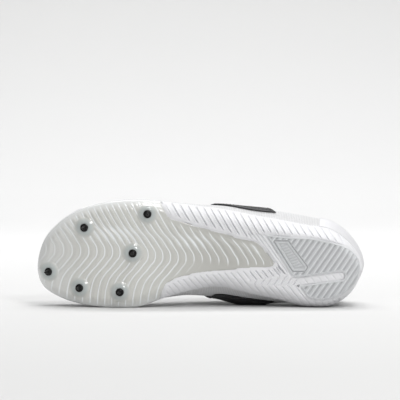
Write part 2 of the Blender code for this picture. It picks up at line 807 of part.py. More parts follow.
def tongue_row(x):
    """Height at the middle, half width and drop of the tongue at the distance x from the heel."""
    rows = np.array(TONGUE_ROWS) * DRAWN_MM
    rows[:, 1] *= COLLAR_HEIGHT / COLLAR_AS_DRAWN
    return [curve_through(rows[:, 0], rows[:, i], x) for i in (1, 2, 3)]


def make_tongue():
    upper_side = []
    for x in np.linspace(TONGUE_ROWS[0][0], TONGUE_ROWS[-1][0], 10) * DRAWN_MM:
        height, half, drop = tongue_row(x)
        shares = np.linspace(-1, 1, 7)
        line = [(x, instep(x) + share * half, height - drop * share**2) for share in shares]
        upper_side.append(line)
    upper_side = np.array(upper_side)
    way = np.cross(np.gradient(upper_side, axis=0), np.gradient(upper_side, axis=1))
    way /= np.linalg.norm(way, axis=2)[..., None]
    return shell("tongue", upper_side, upper_side - way * TONGUE, False, "mesh")


def make_insole():
    outline = inset(EDGE, FEATHER_INSET + WALL + 4 * GAP, INSOLE_POINTS)

    def low(points):
        return footbed(points) + GAP

    def high(points):
        return footbed(points) + GAP + INSOLE

    points = grid_inside(outline, FOOTBED_GRID, FOOTBED_MARGIN)
    return sheet("insole", outline, [], points, low, high, points, "lining")


def tube(name, route):
    """A cord along a route of points, as a mesh object."""
    curve = bpy.data.curves.new(name, "CURVE")
    curve.dimensions = "3D"
    curve.bevel_depth = LACE / 2
    curve.bevel_resolution = 0
    curve.use_fill_caps = True
    spline = curve.splines.new("POLY")
    spline.points.add(len(route) - 1)
    for point, place in zip(spline.points, route):
        point.co = (*place, 1)
    guide = bpy.data.objects.new(name + "_route", curve)
    SHOE.objects.link(guide)
    graph = bpy.context.evaluated_depsgraph_get()
    mesh = bpy.data.meshes.new_from_object(guide.evaluated_get(graph))
    bpy.data.objects.remove(guide, do_unlink=True)
    work = bmesh.new()
    work.from_mesh(mesh)
    bmesh.ops.remove_doubles(work, verts=work.verts, dist=0.00001)
    bmesh.ops.recalc_face_normals(work, faces=work.faces)
    work.to_mesh(mesh)
    work.free()
    return mesh


def lace_ends(grid, out):
    """For each lace row and side: the cord over the throat's edge, in its eyelet and back over the edge."""
    lift = GAP + OVERLAY + LACE / 2 + LACE_CLEAR
    rows = []
    for share in np.linspace(1, 0, LACE_ROWS):
        pair = []
        for start, end in LACE_RINGS:
            ring = start + (end - start) * share
            turn = LACE_TURN if end > start else -LACE_TURN
            places = ((ring + turn, WALL_ROWS - 1), (ring, LACE_ON_WALL), (ring - turn, WALL_ROWS - 1))
            pair.append([on_wall(grid, *place) + on_wall(out, *place) * lift for place in places])
        rows.append(pair)
    return rows


def over_tongue(here, there, lift):
    """Points of a cord that crosses from one edge of the throat to the other, clear of the tongue."""
    points = []
    for share in (0.25, 0.5, 0.75):
        point = here + (there - here) * share
        height, half, drop = tongue_row(point[0])
        aside = (point[1] - instep(point[0])) / half
        clear = height - drop * aside**2 + LACE / 2 + LACE_CLEAR
        arch = LACE_ARCH * math.sin(math.pi * share)
        points.append(np.array([point[0], point[1], max(point[2] + arch, clear) + lift * math.sin(math.pi * share)]))
    return points


def make_laces(grid, out):
    """Two cords that zigzag up the throat and are joined where they cross."""
    rows = lace_ends(grid, out)
    meshes = []
    for first in (0, 1):
        route = rows[0][first][1:]
        for row in range(1, LACE_ROWS):
            before, eyelet, after = rows[row][(row + first) % 2]
            route = [*route, *over_tongue(route[-1], before, first * LACE / 3), before, eyelet, after]
        route = route[:-1]
        meshes.append(tube("lace", route))
    laces = bpy.data.objects.new("laces", meshes[0])
    SHOE.objects.link(laces)
    other = bpy.data.objects.new("lace_crossing", meshes[1])
    CUTTERS.objects.link(other)
    other.hide_render = True
    other.display_type = "WIRE"
    join = laces.modifiers.new("joined", "BOOLEAN")
    join.operation = "UNION"
    join.object = other
    join.use_self = True
    finish(laces, "lace")
    return laces, other


def points_of(thing):
    flat = np.empty(len(thing.data.vertices) * 3, np.float32)
    thing.data.vertices.foreach_get("co", flat)
    return flat.reshape(-1, 3).astype(float)


def rest_plane(sole, side):
    """Way up and level of the floor under the medial side: it touches the fore sole, heel and upper."""
    fore = sole[sole[:, 0] > 0.55 * LENGTH]
    heel = sole[sole[:, 0] < 0.35 * LENGTH]
    up = np.array([0.0, 1.0, 0.0])
    for _ in range(12):
        lowest = np.array([group[(group @ up).argmin()] for group in (fore, heel, side)])
        tilt = np.linalg.solve(np.c_[lowest[:, [0, 2]], -np.ones(3)], -lowest[:, 1])
        up = np.array([tilt[0], 1, tilt[1]])
    length = np.linalg.norm(up)
    return up / length, tilt[2] / length + PRESSED


def press_object(thing, floor, depth):
    points = pressed(points_of(thing), floor, depth)
    thing.data.vertices.foreach_set("co", points.astype(np.float32).ravel())
    thing.data.update()


def lay_down(floor):
    """Hangs everything on an empty that lays the shoe on its side, centred over the origin."""
    up = Vector(floor[0])
    right = Vector((-1, 0, 0)) - up * Vector((-1, 0, 0)).dot(up)
    right.normalize()
    turn = Matrix((right, up.cross(right), up)).to_4x4()
    graph = bpy.context.evaluated_depsgraph_get()
    corners = []
    for thing in SHOE.objects:
        shape = thing.evaluated_get(graph)
        corners += [turn @ shape.matrix_world @ vertex.co for vertex in shape.data.vertices]
    corners = np.array([tuple(corner) for corner in corners])
    middle = (corners.max(0) + corners.min(0)) / 2
    holder = bpy.data.objects.new("shoe_frame", None)
    for thing in list(SHOE.objects) + list(CUTTERS.objects):
        thing.parent = holder
    SHOE.objects.link(holder)
    holder.matrix_world = Matrix.Translation((-middle[0], -middle[1], -floor[1])) @ turn


clear_scene()
SHOE = bpy.data.collections.new("track_spike_shoe")
CUTTERS = bpy.data.collections.new("cutters")
CUTTERS.hide_render = True
for collection in (SHOE, CUTTERS):
    bpy.context.scene.collection.children.link(collection)
make_materials()


def main():
    plate = make_plate()
    make_spikes()
    midsole = make_midsole()
    rubber = make_rubber()
    grid, out = wall_grid()
    sole = np.concatenate([points_of(plate), points_of(midsole)])
    outermost = (grid + out * (GAP + OVERLAY)).reshape(-1, 3)
    floor = rest_plane(sole, outermost[outermost[:, 2] > 0.03])
    for thing in (plate, midsole, rubber):
        press_object(thing, floor, 0)
    depth = GAP + OVERLAY
    shell(
        "upper",
        pressed(grid, floor, depth),
        pressed(grid - out * WALL, floor, depth + WALL),
        True,
        "mesh",
    )
    for name in OVERLAYS:
        make_overlay(name, grid, out, floor)
    make_tongue()
    insole = make_insole()
    press_object(insole, floor, depth + WALL + GAP)
    make_laces(grid, out)
    lay_down(floor)


main()
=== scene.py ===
"""Looks of a left track spike shoe that lies on its medial side, with its sole facing the camera.

Shapes are drawn in the shoe's own frame, in metres: x from heel to toe, y towards the lateral side, z up
from the ground it would stand on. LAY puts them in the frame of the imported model.
"""

import math

import bpy
import numpy as np
from mathutils import Matrix, Vector
from mathutils.geometry import delaunay_2d_cdt


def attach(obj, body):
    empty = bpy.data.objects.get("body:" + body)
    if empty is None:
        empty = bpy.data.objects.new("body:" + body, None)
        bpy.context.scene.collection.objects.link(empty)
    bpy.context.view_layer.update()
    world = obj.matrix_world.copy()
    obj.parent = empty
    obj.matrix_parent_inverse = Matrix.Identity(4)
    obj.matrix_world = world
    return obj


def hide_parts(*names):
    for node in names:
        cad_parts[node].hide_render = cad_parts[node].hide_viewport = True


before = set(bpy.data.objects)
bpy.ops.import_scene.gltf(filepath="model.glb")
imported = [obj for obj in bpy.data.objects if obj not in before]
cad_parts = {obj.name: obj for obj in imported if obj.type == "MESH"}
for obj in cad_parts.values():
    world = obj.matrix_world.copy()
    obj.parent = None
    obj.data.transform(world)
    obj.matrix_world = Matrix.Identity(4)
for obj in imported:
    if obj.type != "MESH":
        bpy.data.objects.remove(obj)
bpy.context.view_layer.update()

# Sizes of the shoe
LENGTH = 0.284
BALL_WIDTH = 0.0944
HEEL_STACK = 0.018
TOE_SPRING = 0.022
WALL = 0.0018
OVERLAY = 0.0008
GAP = 0.0003
PLATE = 0.002
RUBBER = 0.0026
INSOLE = 0.003
TONGUE = 0.003
LACE = 0.0026
SPIKE_FLANGE = 0.007
BOSS_DIAMETER = 0.0185
BOSS_HEIGHT = 0.003
BOSS_FLAT = 0.0044
MM = 0.001

# How the shoe lies: the way up seen from the shoe, and the place of the shoe's own origin
UP = Vector((0.0111854, 0.9988185, 0.0472898))
ORIGIN = Vector((0.14087, -0.0435889, 0.043756))
RIGHT = (Vector((-1, 0, 0)) - UP * Vector((-1, 0, 0)).dot(UP)).normalized()
LAY = Matrix.Translation(ORIGIN) @ Matrix((RIGHT, UP.cross(RIGHT), UP)).to_4x4()

# Plan of the sole: along is a share of LENGTH, lateral and medial are shares of BALL_WIDTH
HEEL_TIP = -0.111
TOE_TIP = -0.166
PLAN = (
    # along, lateral, medial
    (0.010, -0.010, -0.203),
    (0.040, 0.111, -0.351),
    (0.101, 0.239, -0.466),
    (0.172, 0.276, -0.474),
    (0.258, 0.323, -0.412),
    (0.346, 0.369, -0.358),
    (0.439, 0.419, -0.296),
    (0.530, 0.452, -0.333),
    (0.613, 0.484, -0.406),
    (0.684, 0.503, -0.482),
    (0.745, 0.494, -0.497),
    (0.807, 0.462, -0.489),
    (0.868, 0.397, -0.466),
    (0.929, 0.276, -0.415),
    (0.981, 0.092, -0.323),
)
PROFILE = (
    # along, ground, stack, rise, inset
    (0.000, 0.160, 0.92, 0.62, 0.30),
    (0.060, 0.000, 0.98, 0.72, 0.50),
    (0.180, 0.000, 1.00, 0.70, 0.60),
    (0.320, 0.060, 0.92, 0.60, 0.66),
    (0.460, 0.130, 0.78, 0.46, 0.66),
    (0.600, 0.060, 0.62, 0.32, 0.60),
    (0.700, 0.000, 0.53, 0.26, 0.56),
    (0.800, 0.110, 0.52, 0.24, 0.52),
    (0.900, 0.450, 0.50, 0.22, 0.46),
    (1.000, 1.000, 0.50, 0.20, 0.40),
)
PLATE_REAR = (
    # along, across, from the lateral edge of the sole round the plate's tail to the medial edge
    (0.614, 0.433),
    (0.605, 0.388),
    (0.592, 0.343),
    (0.562, 0.313),
    (0.500, 0.258),
    (0.439, 0.212),
    (0.378, 0.161),
    (0.322, 0.116),
    (0.300, 0.040),
    (0.274, -0.078),
    (0.282, -0.096),
    (0.347, -0.111),
    (0.408, -0.129),
    (0.470, -0.147),
    (0.531, -0.180),
    (0.570, -0.212),
    (0.600, -0.262),
    (0.612, -0.335),
)
PLATE_CORNER = 0.6215
PLATE_POINTS = 700
HEEL_RUBBER = (
    # along, across, from the front lateral corner back round the heel to the lower front corner
    (0.299, 0.198),
    (0.223, 0.177),
    (0.167, 0.172),
    (0.131, 0.153),
    (0.096, 0.133),
    (0.049, 0.082),
    (0.026, 0.022),
    (0.014, -0.040),
    (0.014, -0.120),
    (0.024, -0.230),
    (0.054, -0.318),
    (0.096, -0.376),
    (0.131, -0.391),
    (0.167, -0.374),
    (0.179, -0.330),
    (0.193, -0.272),
)
SLOT_MOUTH = (0.203, -0.228)
SLOT_END = (0.072, -0.170)
SLOT_WIDTH = 0.0075
RUBBER_NOSE = (0.218, -0.180)
SPIKES = (
    # along, across
    (0.6605, 0.379),
    (0.852, 0.243),
    (0.704, 0.019),
    (0.963, -0.179),
    (0.866, -0.313),
    (0.742, -0.339),
)
FOAM_PROUD = 0.0010
RUBBER_PROUD = 0.0018
BORDER = 0.0028
SEAT_FLOOR = 0.00035
SEAT_GAP = 0.0009
SEAT_SPLIT = 0.0005
SEAT_TOP = 0.00065

# Upper: the same rows as the solid, all lengths in millimetres
UPPER = (
    # ring, belly_out, belly_up, shoulder, shoulder_height, along, across, height
    (0.000, 2.5, 16, 0.30, 58, 8, 0, 78),
    (0.054, 6.0, 14, 0.30, 54, 18, 18, 74),
    (0.118, 7.5, 14, 0.40, 48, 54, 28, 60),
    (0.163, 6.0, 14, 0.35, 50, 80, 27, 66),
    (0.203, 3.5, 14, 0.40, 58, 102, 20, 84),
    (0.240, 1.6, 13, 0.42, 59, 124, 16, 78),
    (0.307, 0.3, 12, 0.42, 52, 158, 13, 67),
    (0.371, 0.0, 11, 0.36, 44, 184, 10, 57),
    (0.428, 0.0, 10, 0.32, 45, 198, 6, 52),
    (0.503, 0.0, 8, 0.30, 49, 204, 0, 50),
    (0.603, 0.0, 10, 0.32, 46, 198, -6, 52),
    (0.673, 0.5, 12, 0.38, 49, 180, -10, 59),
    (0.729, 6.0, 14, 0.42, 58, 154, -13, 69),
    (0.767, 12.0, 17, 0.44, 63, 128, -16, 77),
    (0.807, 14.5, 19, 0.42, 61, 102, -20, 84),
    (0.848, 10.0, 19, 0.36, 52, 80, -26, 66),
    (0.885, 2.5, 16, 0.35, 50, 54, -27, 60),
    (0.946, 0.5, 14, 0.30, 55, 18, -18, 74),
)
INSTEP = ((0, -10.5), (60, -10), (110, -7), (160, -4), (210, -4))
FEATHER_INSET = 0.0010
RINGS = 336
ROWS = 61
COARSE_RINGS = 84
COARSE_ROWS = 11
OVERLAY_HEM = 0.25
SLANTED_GAP = 0.0011
OVERLAYS = (
    # node, ring_from, ring_to, low, high, lean, bow, steps, rows
    ("side_panel_lateral", 12, 19, 2, 7, 4, 0.6, 60, 40),
    ("side_panel_medial", 65, 72, 2, 7, -4, 0.6, 60, 40),
    ("heel_counter", -7, 7, 0, 4, 0, 0, 90, 30),
    ("toe_cap", 34, 50, 0, 3, 0, 0, 110, 24),
    ("eyestay", 17, 67, 8, 10, 0, 0, 300, 12),
)
TONGUE_ROWS = (
    # along, height at the middle, half width, drop at the sides
    (88, 99, 17, 3),
    (95, 91, 17.5, 3.5),
    (104, 82.5, 16.5, 4),
    (124, 75.5, 15, 4.5),
    (145, 68.5, 13.5, 4),
    (165, 60.5, 12, 4),
    (182, 53, 11, 4),
    (198, 46, 8, 3),
    (212, 41.5, 7, 3),
)
LACE_ROWS = 6
LACE_RINGS = ((18, 27.5), (66, 58))
LACE_ON_WALL = 9
LACE_ARCH = 0.0016
LACE_CLEAR = 0.0020
LACE_TURN = 0.35

# Wave lines of the plate: the shape of one line about its crest, and where the crests are
WAVE = (
    # across from the crest, line's lead towards the toe, in millimetres
    (-46.0, 19.4),
    (-41.8, 19.2),
    (-35.7, 18.7),
    (-29.2, 17.4),
    (-23.1, 15.1),
    (-18.3, 11.7),
    (-13.9, 7.7),
    (-8.7, 3.7),
    (-5.2, 1.0),
    (0.0, 0.0),
    (3.5, 0.6),
    (8.7, 3.7),
    (15.7, 8.4),
    (20.9, 13.1),
    (27.9, 17.8),
    (34.8, 21.8),
    (46.0, 28.0),
)
CRESTS = (
    # crest's place along in millimetres, its number, its place across in millimetres
    (80.3, 28, -8.5),
    (100.3, 25, -7.5),
    (117.8, 23, -6.1),
    (140.0, 20, -3.5),
    (180.5, 14, 0.0),
    (211.0, 9, 2.6),
    (252.8, 3, 3.0),
    (276.3, 0, 3.0),
)
# Beyond the first and last crest the lines go on at these pitches, in millimetres
PITCH_BEHIND = 7.0
PITCH_AHEAD = 8.0
WAVE_PITCH = 0.0073
RIPPLE = 0.00050
RIDGE = 0.00048
RIDGE_HALF = 0.00095


def eased(t):
    """A share from 0 to 1 with soft ends."""
    t = np.clip(t, 0, 1)
    return t * t * (3 - 2 * t)


def smooth_step(x, low, high):
    return eased((x - low) / (high - low))


def curve_through(xs, ys, x):
    """A smooth curve through the rows (xs, ys), read at x."""
    xs = np.asarray(xs, float)
    ys = np.asarray(ys, float)
    slopes = np.gradient(ys, xs)
    i = np.clip(np.searchsorted(xs, x, side="right") - 1, 0, len(xs) - 2)
    step = xs[i + 1] - xs[i]
    t = (np.clip(x, xs[0], xs[-1]) - xs[i]) / step
    lead = t * (1 - t) ** 2 * slopes[i] - t * t * (1 - t) * slopes[i + 1]
    return ys[i] + eased(t) * (ys[i + 1] - ys[i]) + step * lead


def closed_curve(points, per_span=10):
    """A smooth closed line through the points, as a dense polyline."""
    points = np.asarray(points, float)
    around = [np.roll(points, by, axis=0) for by in (1, 0, -1, -2)]
    spans = []
    for a, b, c, d in zip(*around):
        roots = [max(np.linalg.norm(q - p), 1e-9) ** 0.5 for p, q in ((a, b), (b, c), (c, d))]
        one, two, three = np.cumsum(roots)
        t = np.linspace(one, two, per_span, endpoint=False)[:, None]
        ab = (a * (one - t) + b * t) / one
        bc = (b * (two - t) + c * (t - one)) / (two - one)
        cd = (c * (three - t) + d * (t - two)) / (three - two)
        abc = (ab * (two - t) + bc * t) / two
        bcd = (bc * (three - t) + cd * (t - one)) / (three - one)
        spans.append((abc * (two - t) + bcd * (t - one)) / (two - one))
    return np.concatenate(spans)


def way_along(line):
    """Distance of each point of a polyline from its start."""
    return np.concatenate([[0], np.cumsum(np.linalg.norm(np.diff(line, axis=0), axis=1))])


def spread(line, shares, closed=False):
    """Points of a polyline at the given shares of its length."""
    if closed:
        line = np.concatenate([line, line[:1]])
    way = way_along(line)
    return np.stack([np.interp(np.asarray(shares) * way[-1], way, column) for column in line.T], axis=1)


def right_of(ahead):
    """Unit vectors at a right angle to the given ones in plan, turned to the right."""
    side = np.stack([ahead[:, 1], -ahead[:, 0]], axis=1)
    return side / np.linalg.norm(side, axis=1)[:, None]


def plan_curve():
    """The sole's edge in plan, dense, from the heel tip by the lateral side to the toe and back."""
    lateral = [(along * LENGTH, side * BALL_WIDTH) for along, side, _ in PLAN]
    medial = [(along * LENGTH, side * BALL_WIDTH) for along, _, side in reversed(PLAN)]
    heel = [(0, HEEL_TIP * BALL_WIDTH)]
    toe = [(LENGTH, TOE_TIP * BALL_WIDTH)]
    return closed_curve(heel + lateral + toe + medial)


EDGE = plan_curve()


class Field:
    """Signed distances to a closed outline, negative inside it, kept on a fine raster."""

    STEP = 0.0004
    REACH = 0.0130
    MARGIN = 0.006

    def __init__(self, outline):
        self.low = outline.min(0) - self.MARGIN
        high = outline.max(0) + self.MARGIN
        self.xs = np.arange(self.low[0], high[0] + self.STEP, self.STEP)
        self.ys = np.arange(self.low[1], high[1] + self.STEP, self.STEP)
        far = np.full((len(self.xs), len(self.ys)), self.REACH)
        for a, b in zip(outline, np.roll(outline, -1, axis=0)):
            first = np.maximum((np.minimum(a, b) - self.REACH - self.low) / self.STEP, 0).astype(int)
            last = ((np.maximum(a, b) + self.REACH - self.low) / self.STEP).astype(int) + 1
            x = self.xs[first[0] : last[0], None] - a[0]
            y = self.ys[None, first[1] : last[1]] - a[1]
            along = b - a
            t = np.clip((x * along[0] + y * along[1]) / max(along @ along, 1e-18), 0, 1)
            near = np.hypot(x - t * along[0], y - t * along[1])
            window = far[first[0] : last[0], first[1] : last[1]]
            np.minimum(window, near, out=window)
        inside = np.zeros(far.shape, bool)
        after = np.roll(outline, -1, axis=0)
        for k, y in enumerate(self.ys):
            crossing = (outline[:, 1] > y) != (after[:, 1] > y)
            a, b = outline[crossing], after[crossing]
            reach = np.sort(a[:, 0] + (y - a[:, 1]) / (b[:, 1] - a[:, 1]) * (b[:, 0] - a[:, 0]))
            inside[:, k] = np.searchsorted(reach, self.xs) % 2 == 1
        self.value = np.where(inside, -far, far)

    def at(self, points):
        place = (points - self.low) / self.STEP
        corner = np.clip(place.astype(int), 0, np.array(self.value.shape) - 2)
        s, t = np.clip(place - corner, 0, 1).T
        i, j = corner.T
        v = self.value
        low = v[i, j] * (1 - s) + v[i + 1, j] * s
        return low * (1 - t) + (v[i, j + 1] * (1 - s) + v[i + 1, j + 1] * s) * t


FIELD_OF = {}


def signed(points, outline):
    """Distance to an outline, negative inside it."""
    if id(outline) not in FIELD_OF:
        FIELD_OF[id(outline)] = (Field(outline), outline)
    return FIELD_OF[id(outline)][0].at(points)


def distance_to(points, line):
    return np.abs(signed(points, line))


def within(points, line):
    """Whether each point lies inside a closed polyline: by the raster, and exactly near the line."""
    far = signed(points, line)
    inside = far < 0
    close = np.abs(far) < 2.25 * Field.STEP
    after = np.roll(line, -1, axis=0)
    x, y = points[close, :1], points[close, 1:]
    crosses = (line[:, 1] > y) != (after[:, 1] > y)
    height = np.where(after[:, 1] == line[:, 1], 1, after[:, 1] - line[:, 1])
    reach = line[:, 0] + (y - line[:, 1]) / height * (after[:, 0] - line[:, 0])
    inside[close] = (crosses & (x < reach)).sum(1) % 2 == 1
    return inside


def inset(line, by, count):
    """The closed polyline moved inwards, with evenly spread points."""
    even = spread(line, np.arange(count) / count, closed=True)
    return even + right_of(np.roll(even, -1, axis=0) - np.roll(even, 1, axis=0)) * by


def profile(column, x):
    """A column of PROFILE at the distances x from the heel, in metres."""
    sizes = {"ground": TOE_SPRING, "stack": HEEL_STACK, "rise": HEEL_STACK, "inset": HEEL_STACK}
    place = ("along", "ground", "stack", "rise", "inset").index(column)
    rows = [row[place] for row in PROFILE]
    return curve_through([row[0] * LENGTH for row in PROFILE], rows, x) * sizes[column]


def under(points):
    """Height of the plain underside: the ground line, climbing at the sides like a hull."""
    x = points[:, 0]
    side = 1 - np.clip(distance_to(points, EDGE) / profile("inset", x), 0, 1)
    return profile("ground", x) + profile("rise", x) * side**2


def footbed(points):
    return profile("ground", points[:, 0]) + profile("stack", points[:, 0])


def edge_at(x, side):
    """The point of the sole's edge at the distance x from the heel, lateral (+1) or medial (-1)."""
    middle = len(EDGE) * (len(PLAN) + 1) // (2 * len(PLAN) + 2)
    half = EDGE[: middle + 1] if side > 0 else np.concatenate([EDGE[middle:], EDGE[:1]])[::-1]
    return np.array([x, np.interp(x, half[:, 0], half[:, 1])])


def open_curve(rows, per_span=8):
    """A smooth open line through rows of shares of LENGTH and BALL_WIDTH."""
    points = np.array([(along * LENGTH, across * BALL_WIDTH) for along, across in rows])
    turned = np.concatenate([points, points[::-1][1:-1]])
    return np.concatenate([closed_curve(turned, per_span)[: per_span * (len(points) - 1)], points[-1:]])


def plate_outline():
    """The closed outline of the plate: the edge of the sole round the toe, then its own rear edge."""
    corner = PLATE_CORNER * LENGTH
    front = spread(EDGE, np.arange(PLATE_POINTS) / PLATE_POINTS, closed=True)
    front = front[front[:, 0] > corner + Field.STEP]
    rear = open_curve(PLATE_REAR)[::-1]
    return np.concatenate([[edge_at(corner, 1)], front, [edge_at(corner, -1)], rear])


def rubber_outline():
    """The heel rubber with its straight round-ended slot."""
    mouth = np.array(SLOT_MOUTH) * (LENGTH, BALL_WIDTH)
    end = np.array(SLOT_END) * (LENGTH, BALL_WIDTH)
    along = (end - mouth) / np.linalg.norm(end - mouth)
    side = np.array([-along[1], along[0]])
    half = SLOT_WIDTH / 2
    turns = np.linspace(-math.pi / 2, math.pi / 2, 25)
    arc = [end + half * (math.cos(turn) * along + math.sin(turn) * side) for turn in turns]
    slot = np.array([mouth - side * half] + arc + [mouth + side * half])
    rim = open_curve(HEEL_RUBBER)
    if np.linalg.norm(slot[0] - rim[-1]) > np.linalg.norm(slot[-1] - rim[-1]):
        slot = slot[::-1]
    return np.concatenate([rim, slot, [np.array(RUBBER_NOSE) * (LENGTH, BALL_WIDTH)]])


PLATE_EDGE = plate_outline()
RUBBER_EDGE = rubber_outline()
SPIKE_CENTRES = np.array([(along * LENGTH, across * BALL_WIDTH) for along, across in SPIKES])


def moved_out(line, by):
    """A closed polyline moved away from its inside."""
    away = right_of(np.roll(line, -1, axis=0) - np.roll(line, 1, axis=0))
    turn = (np.roll(line, -1, axis=0) * line[:, ::-1] * (-1, 1)).sum()
    return line + away * by * (-1 if turn > 0 else 1)


class Places:
    """Points in plan with their signed distances to the outlines, negative inside."""

    def __init__(self, points):
        self.points = points
        self.x, self.y = points.T
        self.edge = signed(points, EDGE)
        self.plate = signed(points, PLATE_EDGE)
        self.rubber = signed(points, RUBBER_EDGE)


# Rib fields: the angle turns from the toe direction towards lateral, pitch is along the sole, width and
# depth are those of a groove, crown is how far a rib bulges between two grooves, dark is how strongly
# shade is painted into a groove
FIELDS = {
    # name: angle, pitch, start, width, depth, crown, dark
    "lateral": (58, 0.00575, 0.0049, 0.0019, 0.0011, 0.00050, 1.0),
    "medial": (50, 0.0058, 0.0, 0.0022, 0.0006, 0.00030, 0.6),
    "tail": (54, 0.0033, 0.0005, 0.0011, 0.0008, 0.0, 0.8),
    "row_a": (50, 0.0058, 0.0, 0.0020, 0.0010, 0.0003, 0.8),
    "row_b": (-56, 0.0056, 0.0, 0.0017, 0.0006, 0.0003, 0.7),
    "slot": (50, 0.0068, 0.0, 0.0012, 0.0004, 0.0, 0.5),
}
# The lateral ribs spread out ahead of OPEN_FROM, by the share OPEN_BY
OPEN_FROM = 0.117
OPEN_BY = 0.1
# Borders of the fields, along and across the sole. The two rows of the zigzag behind the plate lie
# between ROWS_REAR and ROWS_FRONT: row a above a slanted line, row b from there down to ROW_B_LOW.
LATERAL_LOW = 0.0185
LATERAL_GAP = (0.075, 0.101)
LATERAL_HEEL_LOW = -0.012
HEEL_BAND = 0.006
TAIL_SPAN = (0.0700, 0.0890)
TAIL_HIGH = 0.020
SLOT_FRONT = 0.0565
SLOT_SPAN = (-0.0262, -0.0105)
MEDIAL_HIGH = -0.0078
MEDIAL_HEEL_HIGH = -0.0265
ROWS_FRONT = 0.099
ROWS_REAR = 0.0575
ROW_A_LOW = -0.0218
ROW_A_RISE = 0.20
ROW_B_LOW = -0.0252
# Over this way a rib field fades out at its border
FADE = 0.0007


def least(*distances):
    return np.minimum.reduce(distances)


def keep(field, at):
    """How far inside a rib field of the foam each place lies, negative outside."""
    inside = -at.edge - 0.0002
    row_a = ROW_A_LOW + ROW_A_RISE * (ROWS_FRONT - at.x)
    if field == "lateral":
        at_heel = smooth_step(-at.x, -0.060, -0.025)
        beside_rubber = at.rubber - BORDER * (0.8 - 0.45 * at_heel)
        off_tail = np.maximum(at.x - LATERAL_GAP[1], LATERAL_GAP[0] - at.x)
        low = LATERAL_HEEL_LOW - 0.010 * at_heel * (at.edge > -HEEL_BAND)
        off_tail = np.maximum(at.y - LATERAL_LOW, off_tail)
        return least(at.plate - BORDER, beside_rubber, inside, off_tail, at.y - low)
    if field == "tail":
        beside = at.x - at.y / math.tan(math.radians(FIELDS["tail"][0]))
        span = least(beside - TAIL_SPAN[0], TAIL_SPAN[1] - beside)
        return least(at.plate - 0.0013, at.rubber - 0.0011, TAIL_HIGH - at.y, span, at.y - row_a - 0.0012)
    if field == "slot":
        return least(at.rubber - 0.0009, SLOT_FRONT - at.x, at.y - SLOT_SPAN[0], SLOT_SPAN[1] - at.y)
    beyond = least(at.plate - 0.0018, at.rubber - 0.0012, inside, MEDIAL_HIGH - at.y)
    if field == "medial":
        off_rows = np.maximum(ROW_B_LOW - at.y, at.x - ROWS_FRONT) - 0.0003
        return least(beyond, off_rows, np.maximum(at.x - SLOT_FRONT, MEDIAL_HEEL_HIGH - at.y))
    beyond = least(beyond, ROWS_FRONT - at.x, at.x - ROWS_REAR)
    if field == "row_a":
        return least(beyond, at.y - row_a)
    return least(beyond, row_a - at.y - 0.0006, at.y - ROW_B_LOW)


def rib_relief(field, at):
    """How far a field's grooves rise into the foam, less its crowned ribs, and the mask of painted shade in
    the grooves.
    """
    angle, pitch, start, width, depth, crown, dark = FIELDS[field]
    place = at.x - at.y / math.tan(math.radians(angle))
    if field == "lateral":
        place = place - OPEN_BY * np.maximum(place - OPEN_FROM, 0)
    place = (place - start) / pitch
    share = place - np.round(place)
    across = pitch * abs(math.sin(math.radians(angle)))
    off = np.abs(share) * across
    wall = np.clip(off / (width / 2), 0, 1)
    groove = depth * (1 - eased(wall))
    bulge = crown * np.sin(math.pi * ((0.5 - share) % 1)) ** 0.7
    fade = eased(keep(field, at) / FADE)
    return (groove - bulge * wall) * fade, dark * (1 - wall) ** 0.6 * fade


def foam_under(at):
    """Underside of the foam, proud and ribbed, with seats for plate and rubber, and a mask of painted shade
    in its grooves and along the seats.
    """
    reliefs = [rib_relief(field, at) for field in FIELDS]
    ribs = sum(relief for relief, _ in reliefs)
    groove = np.clip(sum(mask for _, mask in reliefs), 0, 1)
    proud = FOAM_PROUD * np.clip(-at.edge / 0.004, 0, 1)
    level = ribs - proud
    for seat in (at.plate, at.rubber):
        rounded = np.clip(1 - (seat - SEAT_TOP) / 0.0009, 0, 1)
        level = level + 0.00035 * rounded**2
        # painted shadow: a thin dark line where the foam meets the plate and the rubber
        groove = np.maximum(groove, 0.7 * rounded**2)
    level = np.where(at.rubber < SEAT_SPLIT, RUBBER - RUBBER_PROUD + SEAT_GAP, level)
    level = np.where(at.plate < SEAT_SPLIT, PLATE + SEAT_GAP, level)
    return under(at.points) + level, groove


def lattice(field, along):
    """Points on the grooves and ribs of a field, over the whole sole."""
    angle, pitch, start, width = FIELDS[field][:4]
    turn = math.radians(angle)
    across = pitch * abs(math.sin(turn))
    half = width / 2
    free = np.linspace(half, across - half, max(3, int((across - width) / 0.00062)) + 1)[1:-1]
    offsets = np.concatenate([[-half, -half * 0.5, 0, half * 0.5, half], free]) / abs(math.sin(turn))
    ys = np.arange(-0.052, 0.052, along * abs(math.sin(turn)))
    shifts = (np.arange(-20, int(LENGTH / pitch) + 22) * pitch + start)[:, None] + offsets
    if field == "lateral":
        shifts = shifts + np.maximum(shifts - OPEN_FROM, 0) * OPEN_BY / (1 - OPEN_BY)
    xs = shifts.reshape(-1, 1) + ys / math.tan(turn)
    return np.stack([xs, np.broadcast_to(ys, xs.shape)], axis=2).reshape(-1, 2)


def grid(step, margin, outline):
    """Points of a plain grid that lie inside an outline by a margin."""
    low, high = outline.min(0), outline.max(0)
    xs, ys = np.meshgrid(np.arange(low[0], high[0], step), np.arange(low[1], high[1], step * 0.87))
    xs[::2] += step / 2
    points = np.stack([xs, ys], axis=2).reshape(-1, 2)
    return points[signed(points, outline) < -margin]


def on_sole(points, margin=0.0004):
    """Those of the points that lie inside the sole's edge by a margin."""
    beside = np.abs(points[:, 1]) < BALL_WIDTH * 0.53
    points = points[beside & (np.abs(points[:, 0] - LENGTH / 2) < LENGTH / 2)]
    return points[signed(points, EDGE) < -margin]


